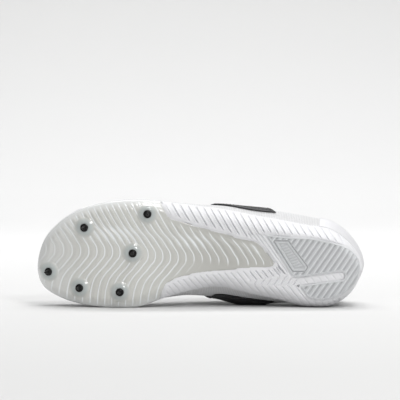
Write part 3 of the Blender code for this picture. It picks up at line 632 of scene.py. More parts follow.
def triangles(outline, points):
    """A plan outline filled with triangles between the points."""
    count = len(outline)
    edges = [(i, (i + 1) % count) for i in range(count)]
    places = [Vector(p) for p in np.concatenate([outline, points])]
    made = delaunay_2d_cdt(places, edges, [], 0, 1e-7)
    plan = np.array([tuple(p) for p in made[0]])
    faces = np.array([face for face in made[2] if len(face) == 3])
    faces = faces[within(plan[faces].mean(1), outline)]
    a, b, c = (plan[faces[:, i]] for i in range(3))
    turn = (b[:, 0] - a[:, 0]) * (c[:, 1] - a[:, 1]) - (b[:, 1] - a[:, 1]) * (c[:, 0] - a[:, 0])
    faces[turn < 0] = faces[turn < 0][:, ::-1]
    return plan, faces[np.abs(turn) > 1e-14]


def nearest(plan, outline):
    return np.array([int(np.abs(plan - p).sum(1).argmin()) for p in outline])


def sheet(outline, low, high, high_points, rim_out=(0,)):
    """Corners and faces of a closed sheet: low is (plan, faces, heights), high a function of plan.

    rim_out says how far the rim stands out at its lower edge and at each of its steps.
    """
    plan, faces, heights = low
    roof, roof_faces = triangles(outline, high_points)
    corners = [np.c_[plan, heights], np.c_[roof, high(roof)]]
    rim = [nearest(plan, outline)]
    rim_high = nearest(roof, outline) + len(plan)
    turn = (outline * np.roll(outline, -1, axis=0)[:, ::-1] * (1, -1)).sum()
    base = len(plan) + len(roof)
    bottom = np.c_[outline, heights[rim[0]]]
    top = np.c_[outline, high(outline)]
    for step, out in enumerate(rim_out[1:], 1):
        share = step / len(rim_out)
        ring = bottom * (1 - share) + top * share
        ring[:, :2] = moved_out(ring[:, :2], out)
        corners.append(ring)
        rim.append(base + np.arange(len(outline)))
        base += len(outline)
    rim.append(rim_high)
    skin = [faces[:, ::-1], roof_faces + len(plan)]
    quads = []
    for below, above in zip(rim, rim[1:]):
        ahead_below, ahead_above = np.roll(below, -1), np.roll(above, -1)
        quad = np.stack([below, ahead_below, ahead_above, above], axis=1)
        quads.append(quad if turn > 0 else quad[:, ::-1])
    return np.concatenate(corners), [*skin, *quads]


def tube_sides(rings, around, base=0, closed=False):
    """Faces between rings of corners that follow one another, in a closed loop or from end to end."""
    i = np.arange(around)
    sides = []
    for k in range(rings if closed else rings - 1):
        here, ahead = base + i + k * around, base + i + (k + 1) % rings * around
        sides.append(np.stack([here, np.roll(here, -1), np.roll(ahead, -1), ahead], axis=1))
    return sides


def tube_caps(rings, around, base=0):
    first = base + np.arange(around)[None]
    return [first[:, ::-1], first + (rings - 1) * around]


def piece(name, corners, faces, material, nodes=(), masks=None, sharp=60, lift=0.0):
    """A named mesh of the shoe: laid down, kept lift above the floor, riding on the body.

    It stands for the nodes. masks are values for its first corners, and are zero on the rest.
    """
    world = (np.c_[corners, np.ones(len(corners))] @ np.array(LAY).T)[:, :3]
    world[:, 2] = np.maximum(world[:, 2], lift)
    mesh = bpy.data.meshes.new(name)
    loops = [tuple(map(int, face)) for group in faces for face in group]
    mesh.from_pydata([tuple(p) for p in world], [], loops)
    for key, given in (masks or {}).items():
        values = np.zeros((len(world), *given.shape[1:]), np.float32)
        values[: len(given)] = given
        kind = "FLOAT" if values.ndim == 1 else "FLOAT_VECTOR"
        layer = mesh.attributes.new(key, kind, "POINT")
        layer.data.foreach_set("value" if values.ndim == 1 else "vector", values.ravel())
    mesh.materials.append(material)
    mesh.shade_smooth()
    mesh.set_sharp_from_angle(angle=math.radians(sharp))
    thing = bpy.data.objects.new(name, mesh)
    bpy.context.scene.collection.objects.link(thing)
    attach(thing, "root")
    if nodes:
        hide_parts(*nodes)
    return thing


# Materials


def start_material(name):
    material = bpy.data.materials.new(name)
    material.use_nodes = True
    return material, material.node_tree, material.node_tree.nodes["Principled BSDF"]


def add(tree, kind, inputs=(), **settings):
    """A node of a material, with its settings and inputs. An input is a value or another node's socket."""
    node = tree.nodes.new(kind)
    for key, value in settings.items():
        setattr(node, key, value)
    for key, value in dict(inputs).items():
        if isinstance(value, bpy.types.NodeSocket):
            tree.links.new(value, node.inputs[key])
        else:
            node.inputs[key].default_value = value
    return node


def math_node(tree, operation, a, b=0.0):
    return add(tree, "ShaderNodeMath", {0: a, 1: b}, operation=operation).outputs[0]


def noise(tree, scale, detail=3.0, vector=None):
    place = vector or add(tree, "ShaderNodeTexCoord").outputs["Object"]
    inputs = {"Vector": place, "Scale": scale, "Detail": detail, "Roughness": 0.55}
    return add(tree, "ShaderNodeTexNoise", inputs).outputs["Fac"]


def attribute(tree, name):
    return add(tree, "ShaderNodeAttribute", attribute_name=name, attribute_type="GEOMETRY")


def masked(tree, colour, name, other):
    """A colour, with another where the mesh's mask of that name is one."""
    return mixed(tree, attribute(tree, name).outputs["Fac"], colour, other)


def waves(tree, value, pitch):
    """A sine wave along a value, with the given pitch."""
    return math_node(tree, "SINE", math_node(tree, "MULTIPLY", value, 2 * math.pi / pitch))


def weave_ways(tree):
    """Distances along a fabric's two ways, in millimetres."""
    way = add(tree, "ShaderNodeSeparateXYZ", {0: attribute(tree, "weave").outputs["Vector"]})
    return way.outputs[0], way.outputs[1]


def mixed(tree, factor, a, b):
    node = add(tree, "ShaderNodeMix", data_type="RGBA")
    for socket, value in ((0, factor), (6, a), (7, b)):
        if isinstance(value, bpy.types.NodeSocket):
            tree.links.new(value, node.inputs[socket])
        else:
            node.inputs[socket].default_value = value
    return node.outputs[2]


def ranged(tree, value, low, high, least=0.0, most=1.0):
    """A value between least and most, stretched to run from low to high."""
    inputs = {"Value": value, "From Min": least, "From Max": most, "To Min": low, "To Max": high}
    return add(tree, "ShaderNodeMapRange", inputs).outputs[0]


def finish_look(tree, shader, colour, roughness, height, depth, strength, numbers=()):
    """Joins a material's colour, roughness and bump, and sets the numbers of its shader."""
    made = add(tree, "ShaderNodeBump", {"Height": height, "Distance": depth, "Strength": strength})
    for name, socket in (("Base Color", colour), ("Roughness", roughness), ("Normal", made.outputs[0])):
        tree.links.new(socket, shader.inputs[name])
    for name, value in dict(numbers).items():
        shader.inputs[name].default_value = value


def grey(value, tint=(1, 1, 1)):
    return (value * tint[0], value * tint[1], value * tint[2], 1)


def foam_material():
    material, tree, shader = start_material("foam_moulded")
    cloud = noise(tree, 60)
    grain = noise(tree, 2600, 2)
    colour = mixed(tree, cloud, grey(0.73, (1, 1, 1.02)), grey(0.775, (1, 1, 1.02)))
    # painted shade: the foam is darker in its rib grooves and along the seats of plate and rubber
    colour = masked(tree, colour, "groove", grey(0.68, (1, 1, 1.03)))
    numbers = {
        "Subsurface Weight": 0.08,
        "Subsurface Radius": (0.002, 0.002, 0.002),
        "Subsurface Scale": 1.0,
    }
    finish_look(tree, shader, colour, ranged(tree, grain, 0.48, 0.66), grain, 0.00006, 0.5, numbers)
    return material


def plate_material():
    """Milky translucent moulding: pale wave lines, cooler on its bosses, dark where thin, with painted light
    on its rim and painted highlights on its waves.
    """
    material, tree, shader = start_material("plate_translucent")
    cloud = noise(tree, 38, 4)
    colour = mixed(tree, cloud, grey(0.585, (1.0, 1.0, 0.945)), grey(0.635, (1.0, 1.0, 0.95)))
    # painted light on the plate's rim
    colour = masked(tree, colour, "rim", grey(0.76, (0.985, 1.0, 1.0)))
    # pale wave lines, partly a painted highlight on their ridges, and painted highlight streaks on the flanks
    colour = masked(tree, colour, "line", grey(0.93, (0.97, 1.0, 1.02)))
    colour = masked(tree, colour, "boss", grey(0.50, (0.93, 1.0, 0.985)))
    colour = masked(tree, colour, "thin", grey(0.47, (1.0, 0.99, 0.93)))
    roughness = ranged(tree, noise(tree, 900, 2), 0.14, 0.26)
    numbers = {
        "IOR": 1.5,
        "Coat Weight": 0.6,
        "Coat Roughness": 0.13,
        "Subsurface Weight": 0.25,
        "Subsurface Radius": (0.003, 0.003, 0.003),
        "Subsurface Scale": 1.0,
    }
    finish_look(tree, shader, colour, roughness, noise(tree, 420, 2), 0.00008, 0.35, numbers)
    return material


def rubber_material():
    material, tree, shader = start_material("rubber_outsole")
    cloud = noise(tree, 90, 4)
    grain = noise(tree, 3200, 2)
    colour = mixed(tree, cloud, grey(0.53, (0.99, 1.01, 1.03)), grey(0.62, (0.99, 1.01, 1.03)))
    # painted highlight on one lip of each groove and round the rubber's border
    colour = masked(tree, colour, "lip_highlight", grey(0.80, (1, 1.01, 1.02)))
    # painted shade in the grooves, the moat and the sunk field of the badge
    colour = masked(tree, colour, "groove", grey(0.43, (1, 1.01, 1.03)))
    finish_look(tree, shader, colour, ranged(tree, grain, 0.52, 0.72), grain, 0.00008, 0.6)
    return material


# Pitch of the mesh and of its fine threads along the wall, in millimetres
MESH_PITCH = 2.9
THREAD_PITCH = 0.42


def mesh_material(name, bright, dark):
    """Engineered mesh: a slanted lattice of threads with small open cells between them, with painted shade in
    the sunk cells.
    """
    material, tree, shader = start_material(name)
    s, t = weave_ways(tree)
    one, two = (waves(tree, math_node(tree, way, s, t), MESH_PITCH) for way in ("ADD", "SUBTRACT"))
    cell = math_node(tree, "MULTIPLY", one, two)
    fine = math_node(tree, "MULTIPLY", waves(tree, t, THREAD_PITCH), 0.3)
    height = math_node(tree, "ADD", cell, fine)
    shade = ranged(tree, cell, 0.0, 1.0)
    cloud = noise(tree, 70, 3)
    thread = mixed(tree, cloud, grey(bright * 0.95), grey(bright, (1, 1, 1.01)))
    sunk = mixed(tree, cloud, grey(dark * 0.92), grey(dark, (1, 1, 1.02)))
    # painted shade: the sunk cells between the threads take the darker colour
    colour, roughness = mixed(tree, shade, sunk, thread), ranged(tree, shade, 0.92, 0.74)
    numbers = {"Sheen Weight": 0.25, "Sheen Roughness": 0.5}
    finish_look(tree, shader, colour, roughness, height, 0.00018, 0.8, numbers)
    return material


def knit_material(name, colour, pitch):
    """Close rib knit for linings and laces, with painted shade in its low courses and painted light on its
    high ones.
    """
    material, tree, shader = start_material(name)
    s, t = weave_ways(tree)
    slant = math_node(tree, "ADD", math_node(tree, "MULTIPLY", s, 0.6), t)
    course = math_node(tree, "MULTIPLY", waves(tree, slant, pitch * 0.8), 0.6)
    height = math_node(tree, "ADD", waves(tree, s, pitch), course)
    shade = ranged(tree, height, 0.25, 0.75)
    # painted shade and light: darker where the knit's relief is low, lighter where it is high
    shaded = mixed(tree, shade, grey(0.80, colour), grey(1.12, colour))
    roughness = ranged(tree, shade, 0.95, 0.8)
    finish_look(tree, shader, shaded, roughness, height, 0.00012, 0.8, {"Sheen Weight": 0.3})
    return material


def film_material(name, colour, spread_by, roughness, grain_scale, depth):
    """Thin moulded film of an overlay, with a fine leather-like grain."""
    material, tree, shader = start_material(name)
    cloud = noise(tree, 120, 4)
    clouded = mixed(tree, cloud, grey(1 - spread_by, colour), grey(1 + spread_by, colour))
    inputs = {"Vector": add(tree, "ShaderNodeTexCoord").outputs["Object"], "Scale": grain_scale}
    cells = add(tree, "ShaderNodeTexVoronoi", inputs, feature="DISTANCE_TO_EDGE").outputs["Distance"]
    rough = ranged(tree, cloud, roughness * 0.85, roughness * 1.15)
    finish_look(tree, shader, clouded, rough, cells, depth, 0.6)
    return material


def metal_material():
    material, tree, shader = start_material("spike_black_steel")
    cloud = noise(tree, 400, 4)
    colour, roughness = mixed(tree, cloud, grey(0.008), grey(0.020)), ranged(tree, cloud, 0.22, 0.42)
    finish_look(tree, shader, colour, roughness, noise(tree, 2200, 2), 0.00004, 0.4, {"Metallic": 0.7})
    return material


FOAM = foam_material()
PLATE_LOOK = plate_material()
RUBBER_LOOK = rubber_material()
MESH = mesh_material("upper_mesh", 0.90, 0.69)
LINING = knit_material("lining_knit", (0.30, 0.30, 0.32), 1.1)
LACE_LOOK = knit_material("lace_braid", (0.72, 0.72, 0.73), 0.8)
PANEL = film_material("panel_black", (0.012, 0.012, 0.013), 0.25, 0.42, 1500, 0.00006)
TRIM = film_material("trim_film", (0.69, 0.69, 0.705), 0.05, 0.42, 1100, 0.00004)
THREAD = film_material("thread", (0.46, 0.46, 0.48), 0.08, 0.7, 2600, 0.00003)
DARK_THREAD = film_material("dark_thread", (0.060, 0.060, 0.064), 0.2, 0.7, 2600, 0.00003)
SPIKE_LOOK = metal_material()


# Sole


def lead_of(aside):
    """How far a wave line leads its crest towards the toe, at a way aside from the crest."""
    return curve_through(*np.array(WAVE).T, aside)


def wave_number(points):
    """For each point: the number of its wave line, whole on a line, the lines' slope there, and in
    millimetres how far aside of the line's crest it is and where that crest is along the sole."""
    alongs, numbers, middles = np.array(CRESTS).T
    u, v = points.T / MM
    crest = u
    for _ in range(8):
        crest = u - lead_of(v - curve_through(alongs, middles, crest))
    aside = v - curve_through(alongs, middles, crest)
    number = curve_through(alongs, numbers, crest)
    number += np.maximum(alongs[0] - crest, 0) / PITCH_BEHIND
    number -= np.maximum(crest - alongs[-1], 0) / PITCH_AHEAD
    slope = (lead_of(aside + 1) - lead_of(aside - 1)) / 2
    return number, slope, aside, crest


def boss_lift(points):
    """Share of the way up a boss at each point, and the height of the boss's top there."""
    lift, top = np.zeros((2, len(points)))
    for centre in SPIKE_CENTRES:
        level, along, across = tangent(centre)
        away = points - centre
        radius = np.linalg.norm(away, axis=1)
        outwards = (radius**2 - BOSS_FLAT**2) / (BOSS_DIAMETER**2 / 4 - BOSS_FLAT**2)
        share = 1 - np.clip(outwards, 0, 1) ** 1.12
        here = share > lift
        top = np.where(here, level + away @ (along, across) - BOSS_HEIGHT, top)
        lift = np.where(here, share, lift)
    return lift, top


def tangent(centre):
    """Height and slopes of the underside at a point in plan."""
    step = 0.0015
    x, y = centre
    around = under(np.array([(x, y), (x - step, y), (x + step, y), (x, y - step), (x, y + step)]))
    return around[0], (around[2] - around[1]) / (2 * step), (around[4] - around[3]) / (2 * step)


def plate_relief(points):
    """Height of the plate's underside, with the masks of its lines and painted highlights, bosses, thin tail
    and painted light on its rim.
    """
    number, slope, aside, crest = wave_number(points)
    x, y = points.T
    from_edge = distance_to(points, PLATE_EDGE)
    lift, top = boss_lift(points)
    off = np.abs(number - np.round(number)) * WAVE_PITCH / np.sqrt(1 + slope**2)
    ridge = eased(1 - off / RIDGE_HALF)
    # The lines end short of the plate's edge, of the bosses and, on the tail, of its medial side
    strength = np.clip(np.clip((aside + 4.0) / 5.0, 0, 1) + np.clip((crest - 138) / 22, 0, 1), 0, 1)
    strength *= np.clip((from_edge - 0.0012) / 0.0025, 0, 1) * (1 - np.clip(lift * 2.5, 0, 1))
    flank = smooth_step(aside, 4, 16) * (1 - smooth_step(aside, 26, 40))
    ripple = RIPPLE * (1 + 1.1 * flank) * np.sin(math.pi * (number % 1)) ** 2
    settled = smooth_step(from_edge, 0.0006, 0.0075)
    level = under(points) - strength * (ridge * RIDGE * (0.4 + 0.6 * settled) + ripple * settled)
    level = level * (1 - lift) + top * lift
    level += 0.0006 * np.clip(1 - from_edge / 0.0011, 0, 1) ** 2
    # Broad painted highlight streaks on the lateral flanks of the waves, and fainter lines towards the toe
    middle = smooth_step(aside, 6, 13) * (1 - smooth_step(aside, 19, 27))
    streak = np.clip(1.2 - off / (RIDGE_HALF * 1.8), 0, 1) * middle * smooth_step(-crest, -262, -235)
    streak *= 0.62 + 0.38 * np.sin(x / 0.011 + y / 0.017)
    # line holds the pale wave lines, partly a painted highlight on the ridges, and the painted highlight
    # streaks
    line = strength * np.maximum(ridge * (0.45 + 0.55 * smooth_step(-crest, -275, -225)), streak)
    thin = 0.85 * smooth_step(-x, -0.20, -0.12) * (1 - line)
    # painted light: the plate paler along its rim near the sole's edge, and at the toe
    rim = 0.9 * np.clip(1 + signed(points, EDGE) / 0.0085, 0, 1) ** 1.2
    rim = np.maximum(rim, 0.45 * smooth_step(x, 0.235, 0.280)) * (1 - 0.8 * np.clip(lift * 2, 0, 1))
    return level, {"line": line, "boss": smooth_step(lift, 0.02, 1.0), "thin": thin, "rim": rim}


def wave_lattice():
    """Points that follow the plate's wave lines."""
    alongs, numbered, middles = np.array(CRESTS).T
    aside = np.array([0.05, 0.10, 0.16, 0.24, 0.33, 0.42])
    offsets = np.concatenate([-aside[::-1], [0], aside, [0.5]])
    numbers = (np.arange(-3, 31)[:, None] + offsets).ravel()
    fine = np.linspace(alongs[0], alongs[-1], 2000)
    us = np.interp(numbers, curve_through(alongs, numbered, fine)[::-1], fine[::-1])
    us += np.maximum(-numbers, 0) * PITCH_AHEAD - np.maximum(numbers - numbered[0], 0) * PITCH_BEHIND
    vs = np.arange(-49, 49, 0.75)
    xs = us[:, None] + lead_of(vs - curve_through(alongs, middles, us)[:, None])
    return np.stack([xs, np.broadcast_to(vs, xs.shape)], axis=2).reshape(-1, 2) * MM


def rows_along(line, outs, field_line, margin):
    """Copies of a closed outline moved out by each of outs, where they lie well inside a line."""
    rows = np.concatenate([moved_out(line, out) for out in outs])
    return rows[signed(rows, field_line) < -margin]


def make_plate():
    points = on_sole(wave_lattice())
    away = np.linalg.norm(points[:, None] - SPIKE_CENTRES, axis=2).min(1)
    points = points[away > BOSS_DIAMETER / 2 + 0.0004]
    turns = np.linspace(0, 2 * math.pi, 64, endpoint=False)
    turned = np.stack([np.cos(turns), np.sin(turns)], axis=1)
    radii = np.r_[np.linspace(0.0012, BOSS_FLAT, 4), np.linspace(0.0048, BOSS_DIAMETER / 2, 11)]
    rings = [centre + radius * turned for radius in radii for centre in SPIKE_CENTRES]
    points = np.concatenate([points, SPIKE_CENTRES, *rings])
    points = points[signed(points, PLATE_EDGE) < -0.0005]
    near_edge = rows_along(PLATE_EDGE, (-0.0003, -0.0007), PLATE_EDGE, 0.00025)
    plan, faces = triangles(PLATE_EDGE, np.concatenate([points, near_edge]))
    level, masks = plate_relief(plan)
    above = grid(0.006, 0.003, PLATE_EDGE)
    corners, skin = sheet(PLATE_EDGE, (plan, faces, level), lambda p: under(p) + PLATE, above)
    piece("plate", corners, skin, PLATE_LOOK, ["spike_plate"], masks, sharp=40)


FOAM_POINTS = 900


def make_foam():
    outline = spread(EDGE, np.arange(FOAM_POINTS) / FOAM_POINTS, closed=True)
    points = []
    for field in FIELDS:
        some = on_sole(lattice(field, 0.0009), 0.0006)
        points.append(some[keep(field, Places(some)) > -0.0001])
    plain = on_sole(grid(0.0012, 0.0006, EDGE), 0.0006)
    at = Places(plain)
    free = np.array([keep(field, at) for field in FIELDS]).max(0) < -0.0004
    shown = np.minimum(at.plate, at.rubber) > SEAT_TOP + 0.0003
    points.append(plain[free & shown])
    hidden = grid(0.006, 0.002, EDGE)
    points.append(hidden[least(signed(hidden, PLATE_EDGE), signed(hidden, RUBBER_EDGE)) < -0.001])
    for out in (SEAT_FLOOR, SEAT_TOP, SEAT_TOP + 0.0004, SEAT_TOP + 0.0009):
        for ring in (PLATE_EDGE, RUBBER_EDGE):
            around = rows_along(ring, [out], EDGE, 0.0005)
            points.append(around[np.abs(signed(around, ring) - out) < 0.0001])
    plan, faces = triangles(outline, np.concatenate(points))
    level, groove = foam_under(Places(plan))
    above = grid(0.012, 0.006, EDGE)
    corners, skin = sheet(outline, (plan, faces, level), footbed, above, (0, 0.0003, 0.0005, 0.0003))
    piece("foam_midsole", corners, skin, FOAM, ["midsole"], {"groove": groove}, sharp=48)


# Badge of the heel rubber: a plain slanted frame, with short slanted bars in it
BADGE = np.array([(77.7, 13.1), (66.4, 13.1), (49.8, -8.7), (51.6, -11.8), (62.0, -11.8)]) * MM
BAR_PITCH = 0.0026
BAR_LEAN = 0.35
# Slanted grooves of the heel rubber: angle as in FIELDS, pitch along the sole, half width and depth
RUBBER_ANGLE = math.radians(-56)
RUBBER_PITCH = 0.0054
RUBBER_HALF = 0.00145
RUBBER_DEPTH = 0.0010


def rubber_relief(points):
    """Height of the heel rubber's underside, and the masks of painted shade in its grooves and of painted
    highlight on their lips.
    """
    x, y = points.T
    inside = -signed(points, RUBBER_EDGE)
    badge = signed(points, BADGE)
    place = (x - y / math.tan(RUBBER_ANGLE)) / RUBBER_PITCH
    side = (place - np.round(place)) * RUBBER_PITCH * abs(math.sin(RUBBER_ANGLE))
    fade = np.clip((inside - 0.0011) / 0.0006, 0, 1) * np.clip((badge - 0.0012) / 0.0005, 0, 1)
    groove = (1 - eased(np.abs(side) / RUBBER_HALF)) * fade
    # Round the badge runs a moat, and inside it a sunk field with raised bars
    moat = np.clip(1 - np.abs(badge - 0.0006) / 0.0006, 0, 1) ** 0.7
    field = np.clip((-badge - 0.0013) / 0.0004, 0, 1)
    bars = (y + BAR_LEAN * x) / BAR_PITCH
    bar = np.clip(np.abs(bars - np.round(bars)) * 2 - 0.25, 0, 0.5) * 2
    bar *= np.clip((-badge - 0.0022) / 0.0005, 0, 1)
    relief = RUBBER_DEPTH * (groove + moat) + 0.00055 * field - 0.00060 * bar
    relief += 0.0004 * np.clip(1 - inside / 0.0008, 0, 1) ** 2
    # painted shade: darker in the grooves, in the moat and in the sunk field between the bars
    mask = np.clip(0.8 * groove + moat + 0.35 * field * (1 - bar), 0, 1)
    # painted highlight along one side of each groove and round the rubber's rounded border
    lip_highlight = np.clip(1 - np.abs(side - 1.25 * RUBBER_HALF) / 0.00045, 0, 1) * fade
    lip_highlight = np.maximum(lip_highlight, np.clip(1 - inside / 0.0006, 0, 1) * 0.7)
    return under(points) - RUBBER_PROUD + relief - 0.00012 * lip_highlight, {"groove": mask, "lip_highlight": lip_highlight}


def closed_dense(corners, step):
    """A closed polygon with points about a step apart."""
    sides = []
    for a, b in zip(corners, np.roll(corners, -1, axis=0)):
        count = max(1, int(np.linalg.norm(b - a) / step))
        sides.append(a + (b - a) * (np.arange(count) / count)[:, None])
    return np.concatenate(sides)


def make_rubber():
    points = on_sole(grid(0.00052, 0.0004, RUBBER_EDGE))
    close = rows_along(RUBBER_EDGE, (-0.0002, -0.0005), RUBBER_EDGE, 0.00015)
    ring = closed_dense(BADGE, 0.0005)
    near = [moved_out(ring, out) for out in (-0.0017, -0.0013, 0, 0.0006, 0.0012)]
    plan, faces = triangles(RUBBER_EDGE, np.concatenate([points, close, *near]))
    level, masks = rubber_relief(plan)
    above = grid(0.006, 0.003, RUBBER_EDGE)
    low = (plan, faces, level)
    corners, skin = sheet(RUBBER_EDGE, low, lambda p: under(p) + RUBBER - RUBBER_PROUD, above)
    piece("heel_rubber", corners, skin, RUBBER_LOOK, ["heel_outsole"], masks, sharp=40)


SPIKE_PROFILE = (
    # radius as a share of the flange's, depth below the boss in metres
    (0.0, 0.0),
    (0.94, 0.0),
    (1.0, 0.00012),
    (1.0, 0.00075),
    (0.94, 0.0010),
    (0.76, 0.0013),
    (0.60, 0.0014),
    (0.52, 0.00155),
    (0.44, 0.0022),
    (0.30, 0.0045),
    (0.20, 0.0064),
    (0.15, 0.0071),
    (0.08, 0.0074),
    (0.0, 0.0074),
)


SPIKE_AROUND = 48
# Two notches for a key cross the flange between these depths
NOTCH_FROM, NOTCH_TO = 0.0007, 0.00135
NOTCH_DEPTH = 0.00035


def spike_shape():
    """Corners and faces of a spike that points down from its boss at the origin."""
    turns = np.linspace(0, 2 * math.pi, SPIKE_AROUND, endpoint=False)
    corners = []
    for share, deep in SPIKE_PROFILE[1:-1]:
        radius = share * SPIKE_FLANGE / 2
        notched = (NOTCH_FROM < deep < NOTCH_TO) & (np.abs(np.sin(turns)) < 0.2)
        cut = np.where(notched, NOTCH_DEPTH, 0)
        corners.append(np.stack([radius * np.cos(turns), radius * np.sin(turns), cut - deep], axis=1))
    rings = len(corners)
    corners.append([(0, 0, 0), (0, 0, -SPIKE_PROFILE[-1][1])])
    i = np.arange(SPIKE_AROUND)
    j = np.roll(i, -1)
    last = (rings - 1) * SPIKE_AROUND
    top = np.full(SPIKE_AROUND, rings * SPIKE_AROUND)
    faces = [side[:, ::-1] for side in tube_sides(rings, SPIKE_AROUND)]
    faces += [np.stack([top, i, j], axis=1), np.stack([top + 1, j + last, i + last], axis=1)]
    return np.concatenate(corners), faces


def make_spikes():
    shape, faces = spike_shape()
    for number, centre in enumerate(SPIKE_CENTRES, 1):
        level, along, across = tangent(centre)
        normal = Vector((-along, -across, 1)).normalized()
        turn = Vector((0, 0, 1)).rotation_difference(normal).to_matrix()
        place = np.array([*centre, level - BOSS_HEIGHT]) - np.array(normal) * GAP
        corners = shape @ np.array(turn).T + place
        piece(f"spike_detail_{number}", corners, faces, SPIKE_LOOK, [f"spike_{number}"], sharp=30)


# Upper


def upper_columns(ring):
    """The row of UPPER at a share of the way round, in metres where it is a length."""
    rows = np.array(UPPER, float)
    places = np.concatenate([rows[-3:, 0] - 1, rows[:, 0], rows[:3, 0] + 1])
    around = np.concatenate([rows[-3:], rows, rows[:3]])
    units = (0, MM, MM, 1, MM, MM, MM, MM)
    return [curve_through(places, around[:, i], ring) * units[i] for i in range(1, 8)]


def instep(x):
    """How far across the middle of the foot lies at x."""
    return curve_through(*np.array(INSTEP).T * MM, x)


# The line where the upper meets the sole
FEATHER = inset(EDGE, FEATHER_INSET, 400)


def meridian(ring):
    """A line of the upper's outer face, from the feather line up to the opening."""
    foot = spread(FEATHER, [ring % 1], closed=True)[0]
    ahead = spread(FEATHER, [(ring - 0.012) % 1, (ring + 0.012) % 1], closed=True)
    out = np.array([ahead[0][1] - ahead[1][1], ahead[1][0] - ahead[0][0]])
    out /= np.linalg.norm(out)
    belly_out, belly_up, shoulder, shoulder_height, along, across, height = upper_columns(ring % 1)
    base = footbed(foot[None])[0] + GAP
    opening = np.array([along, instep(along) + across, height])
    turn = foot + (opening[:2] - foot) * shoulder
    knots = [
        np.array([*foot, base]),
        np.array([*(foot + out * belly_out), base + belly_up]),
        np.array([*turn, shoulder_height]),
        opening,
    ]
    before = 2 * knots[0] - knots[1] + np.array([*(out * 0.004), 0])
    after = 2 * knots[3] - knots[2]
    line = closed_curve([before, *knots, after], 12)[12 : 12 * 4]
    return np.concatenate([line, [opening]])


def wall_grid():
    """Outer points of the upper, by ring and row, and the way out from each."""
    rings = np.arange(RINGS) / RINGS
    rows = np.linspace(0, 1, ROWS)
    points = np.array([spread(meridian(ring), rows) for ring in rings])
    around = np.roll(points, -1, axis=0) - np.roll(points, 1, axis=0)
    out = np.cross(np.gradient(points, axis=1), around)
    out[:, 0, 2] = 0
    out /= np.linalg.norm(out, axis=2)[..., None]
    return points, out


WALL_POINTS, WALL_OUT = wall_grid()


def on_wall(ring, row):
    """A place on the wall and the way out there, by the solid's ring and row numbers."""
    ring = ring * RINGS / COARSE_RINGS
    row = min(row * (ROWS - 1) / (COARSE_ROWS - 1), ROWS - 1)
    i, k = int(math.floor(ring)), min(int(row), ROWS - 2)
    s, t = ring - i, row - k
    found = []
    for values in (WALL_POINTS, WALL_OUT):
        a, b = values[i % RINGS], values[(i + 1) % RINGS]
        found.append((a[k] * (1 - s) + b[k] * s) * (1 - t) + (a[k + 1] * (1 - s) + b[k + 1] * s) * t)
    return found


def shell(outer, inner, closed):
    """Corners and faces of a closed wall between two like grids of points."""
    rings, rows = outer.shape[:2]
    corners = np.concatenate([outer.reshape(-1, 3), inner.reshape(-1, 3)])
    back = rings * rows
    i = np.arange(rings if closed else rings - 1)
    j = (i + 1) % rings
    faces = []
    for k in range(rows - 1):
        a, b, c, d = i * rows + k, j * rows + k, j * rows + k + 1, i * rows + k + 1
        faces.append(np.stack([a, b, c, d], axis=1))
        faces.append(np.stack([back + d, back + c, back + b, back + a], axis=1))
    a, b = i * rows, j * rows
    faces.append(np.stack([a, back + a, back + b, b], axis=1))
    a, b = i * rows + rows - 1, j * rows + rows - 1
    faces.append(np.stack([b, back + b, back + a, a], axis=1))
    if not closed:
        k = np.arange(rows - 1)
        faces.append(np.stack([k, k + 1, back + k + 1, back + k], axis=1))
        k = k + (rings - 1) * rows
        faces.append(np.stack([k + 1, k, back + k, back + k + 1], axis=1))
    return corners, faces


def weave_of(points):
    """Distances along both ways of a grid of points, in millimetres, for a weave that follows it."""
    along = way_along(points[:, points.shape[1] // 2])
    up = np.array([way_along(line) for line in points])
    s = np.broadcast_to(along[:, None], up.shape)
    return np.stack([s / MM, up / MM, np.zeros_like(up)], axis=2)


def weave_mask(points):
    """The weave over a grid of points, for both faces of a shell along it."""
    return {"weave": np.concatenate([weave_of(points).reshape(-1, 3)] * 2)}


CREASES = (
    # ring, reach in rings, low and high share of the wall, lean, depth
    (0.405, 0.0035, 0.30, 0.92, 0.030, 0.0011),
    (0.425, 0.0030, 0.38, 0.98, 0.022, 0.0009),
    (0.388, 0.0030, 0.25, 0.80, 0.034, 0.0007),
    (0.592, 0.0035, 0.30, 0.92, -0.028, 0.0011),
    (0.570, 0.0030, 0.36, 0.96, -0.022, 0.0008),
    (0.612, 0.0030, 0.25, 0.80, -0.034, 0.0007),
    (0.160, 0.0040, 0.45, 0.95, 0.012, 0.0006),
    (0.852, 0.0040, 0.45, 0.95, -0.012, 0.0006),
)
# The wall swells round the collar, between these shares of the way round, above COLLAR_LOW
COLLAR_ENDS = (0.235, 0.775)
COLLAR_LOW = 0.86
# Padding inside the collar: its first and last ring of the wall, its rows as shares of the wall's height,
# and its thickness
COLLAR_RINGS = (-64, 76)
COLLAR_ROWS = np.linspace(0.66, 0.985, 26)
COLLAR_PAD = 0.0038
# The collar's padding and the insole are kept this far above the floor
FLOOR_LIFT = 0.0032


